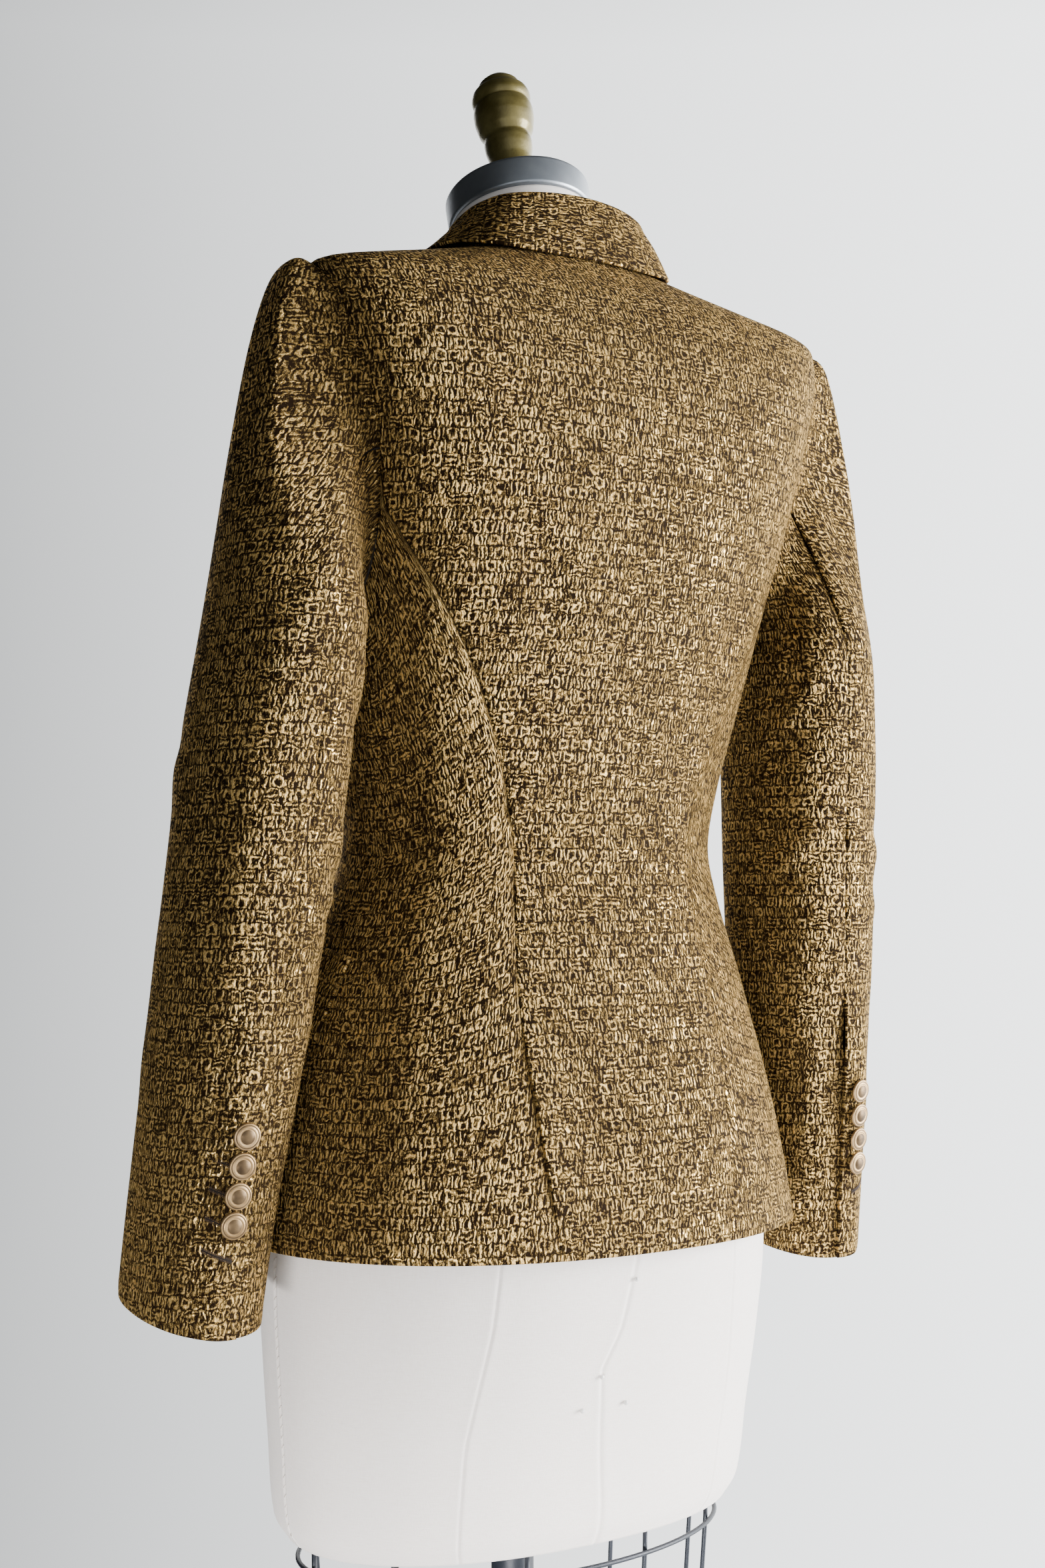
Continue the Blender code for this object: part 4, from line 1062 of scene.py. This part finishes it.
# Buttons: pressed brass in a pale gold wash, with a stepped rim and a darker domed middle. Each
# stands on a short shank that is sewn through the cloth.
brass = rubbed("pale_gold_wash", (0.26, 0.165, 0.075), (0.44, 0.30, 0.155), 0.46, 0.9, 90.0, 1400.0, 0.00008)
dull = rubbed("dulled_gold", (0.06, 0.038, 0.02), (0.15, 0.10, 0.052), 0.44, 0.8, 120.0, 1400.0, 0.00008)
BUTTON = (
    (0.0, 0.0), (0.003, 0.0), (0.003, 0.0009), (0.0069, 0.001), (0.0077, 0.0014),
    (0.0078, 0.002), (0.0074, 0.0027), (0.0068, 0.003), (0.0064, 0.0028), (0.0061, 0.003),
    (0.0055, 0.0034), (0.0049, 0.0035), (0.0045, 0.0032), (0.0041, 0.0034), (0.0032, 0.004),
    (0.0016, 0.0043), (0.0, 0.0044),
)
CUFF_ROWS = (0.9535, 0.9375, 0.9216, 0.9057, 0.8885)


def pressed(name, place, way, scale, own):
    """A button with its middle and its groove dulled."""
    disc = turned(name, [(r * scale, h) for r, h in BUTTON], brass, place, way, 48)
    disc.data.materials.append(dull)
    for face in disc.data.polygons:
        reach = np.array(face.center) - place
        deep = float(np.dot(reach, way))
        far = float(np.linalg.norm(reach - way * deep)) / scale
        if deep > 0.0026 and (far < 0.0042 or 0.0058 < far < 0.0066):
            face.material_index = 1
    stands_for(own)


def sleeve_place(v, height, lift):
    """Points that lie on the cuff's face, over the lap of its opening, and the way out there."""
    v, height = paired(v, height)
    part = CAP + (1 - CAP) * (SLEEVE_TOP - height) / (SLEEVE_TOP - SLEEVE_END)
    way = -sleeve_inward(v, part)
    return sleeve_point(v, part) + way * (vent_rise(v, height) + lift)[..., None], way


SIDES = ((np.array((1, 1, 1)), "left"), (np.array((-1, 1, 1)), "right"))
for number, height in enumerate(CUFF_ROWS[:4], 1):
    spot, way = sleeve_place(83.5, height, 0.0006)
    for flip, label in SIDES:
        pressed(f"button_{label}_{number}", spot * flip, way * flip, 1.0, f"cuff_button_{label}_{number}")
for number, (height, lift) in enumerate(((1.100, 0.0018), (1.010, 0.0002)), 1):
    spot = face_point(height, 0.0) + outward(height, 0.0) * lift
    pressed(f"closing_button_{number}", spot, outward(height, 0.5), 1.3, f"front_button_{number}")

# Buttonholes: five worked slits in each cuff, in dark brown silk over the gold, of which the last
# has no button. Each is 18 mm long, with stitches across its two lips.
silk = rubbed("brown_silk", (0.030, 0.014, 0.007), (0.085, 0.045, 0.020), 0.5, 0.0, 300.0, 2600.0, 0.00005)
hollow = rubbed("slit_shadow", (0.006, 0.004, 0.003), (0.014, 0.009, 0.006), 0.9, 0.0, 300.0, 2600.0, 0.00005)
LIP = ((0.0004, 0.0002), (0.0009, 0.00035), (0.0014, -0.0001))
lips = []
slots = []
across_slit = np.linspace(63, 86, 24)
for height in CUFF_ROWS:
    level = height - (across_slit - 74) * 0.0002
    slots.append(sleeve_place(across_slit, level, 0.0001)[0])
    for sign in (1, -1):
        bars = [sleeve_place(across_slit, level + sign * off, lift)[0] for off, lift in LIP]
        lips += list(np.stack(bars, axis=1))
for flip, label in SIDES:
    strands(f"buttonhole_stitches_{label}", [path * flip for path in lips], 0.00025, silk)
    strands(f"buttonhole_slits_{label}", [path * flip for path in slots], 0.00040, hollow, 6)

# Studio: a plain pale floor, a large soft window light behind the camera's right shoulder, and
# three weak ones: a fill across from it, one low on the cage and one on the front. The room is pale.
floor_paint, _, floor_skin = blank("pale_floor")
feed(floor_skin, {"Base Color": (0.78, 0.79, 0.80, 1.0), "Roughness": 0.8})
rim = [(1.8 * math.cos(math.pi * k / 48), 1.8 * math.sin(math.pi * k / 48), -0.0005) for k in range(96)]
floor_mesh = bpy.data.meshes.new("floor")
floor_mesh.from_pydata(rim, [], [tuple(range(96))])
floor_mesh.materials.append(floor_paint)
floor = bpy.data.objects.new("floor", floor_mesh)
bpy.context.scene.collection.objects.link(floor)


def soft_light(name, place, aim, width, height, watts, colour, spread=180):
    """An oblong soft light that faces its aim."""
    lamp = bpy.data.lights.new(name, "AREA")
    lamp.spread = math.radians(spread)
    lamp.shape = "RECTANGLE"
    lamp.size = width
    lamp.size_y = height
    lamp.energy = watts
    lamp.color = colour
    ob = bpy.data.objects.new(name, lamp)
    ob.location = place
    ob.rotation_euler = (Vector(aim) - Vector(place)).to_track_quat("-Z", "Y").to_euler()
    bpy.context.scene.collection.objects.link(ob)


soft_light("window", (-2.0, 1.5, 1.2), (0.0, 0.05, 0.98), 1.3, 1.7, 245.0, (1.0, 0.985, 0.96))
soft_light("fill", (1.6, 2.0, 1.0), (0.1, 0.05, 1.1), 1.2, 1.6, 3.0, (0.96, 0.98, 1.0))
soft_light("low_fill", (1.5, 1.4, 0.25), (0.05, 0.05, 0.46), 0.8, 0.3, 5.5, (1.0, 0.98, 0.96), 36)
soft_light("front_fill", (-0.6, -2.6, 1.9), (0.0, 0.0, 1.1), 1.6, 1.8, 14.0, (1.0, 1.0, 1.0))
world = bpy.data.worlds.new("pale_room")
world.use_nodes = True
bpy.context.scene.world = world
room = world.node_tree
way = put(room, "ShaderNodeTexCoord").outputs["Generated"]


def glow(value, low, high, dim, bright):
    """The room's light, from dim to bright as a value goes from low to high."""
    limits = {"Value": value, "From Min": low, "From Max": high, "To Min": dim, "To Max": bright}
    return put(room, "ShaderNodeMapRange", limits).outputs[0]


def along_room(heading):
    return put(room, "ShaderNodeVectorMath", {0: way, 1: heading}, operation="DOT_PRODUCT").outputs["Value"]


sideways = glow(along_room((-0.84, 0.545, 0.0)), -0.45, 0.5, 0.03, 4.4)
deep_room = glow(along_room((-0.545, -0.84, 0.0)), -0.5, 0.5, 0.30, 1.0)
ceiling = glow(put(room, "ShaderNodeSeparateXYZ", {0: way}).outputs["Z"], 0.40, 0.62, 1.0, 0.03)
level = put(room, "ShaderNodeMath", {0: sideways, 1: deep_room}, operation="MULTIPLY").outputs[0]
level = put(room, "ShaderNodeMath", {0: level, 1: ceiling}, operation="MULTIPLY").outputs[0]
feed(room.nodes["Background"], {"Color": (0.965, 0.99, 1.0, 1.0), "Strength": level})

# Camera: at chest height behind the form's left shoulder, looking a little up. It frames the part
# from the finial to just below the torso.
heading = math.radians(33.386)
pitch = math.radians(3.181)
look = Vector((-math.sin(heading) * math.cos(pitch), -math.cos(heading) * math.cos(pitch), math.sin(pitch)))
lens = bpy.data.cameras.new("portrait")
lens.sensor_fit = "VERTICAL"
lens.sensor_height = 36.0
lens.lens = 36.0 * 2955.4 / 2352
camera = bpy.data.objects.new("portrait", lens)
camera.location = (0.6963, 1.0681, 1.0782)
camera.rotation_euler = look.to_track_quat("-Z", "Y").to_euler()
bpy.context.scene.collection.objects.link(camera)
bpy.context.scene.camera = camera
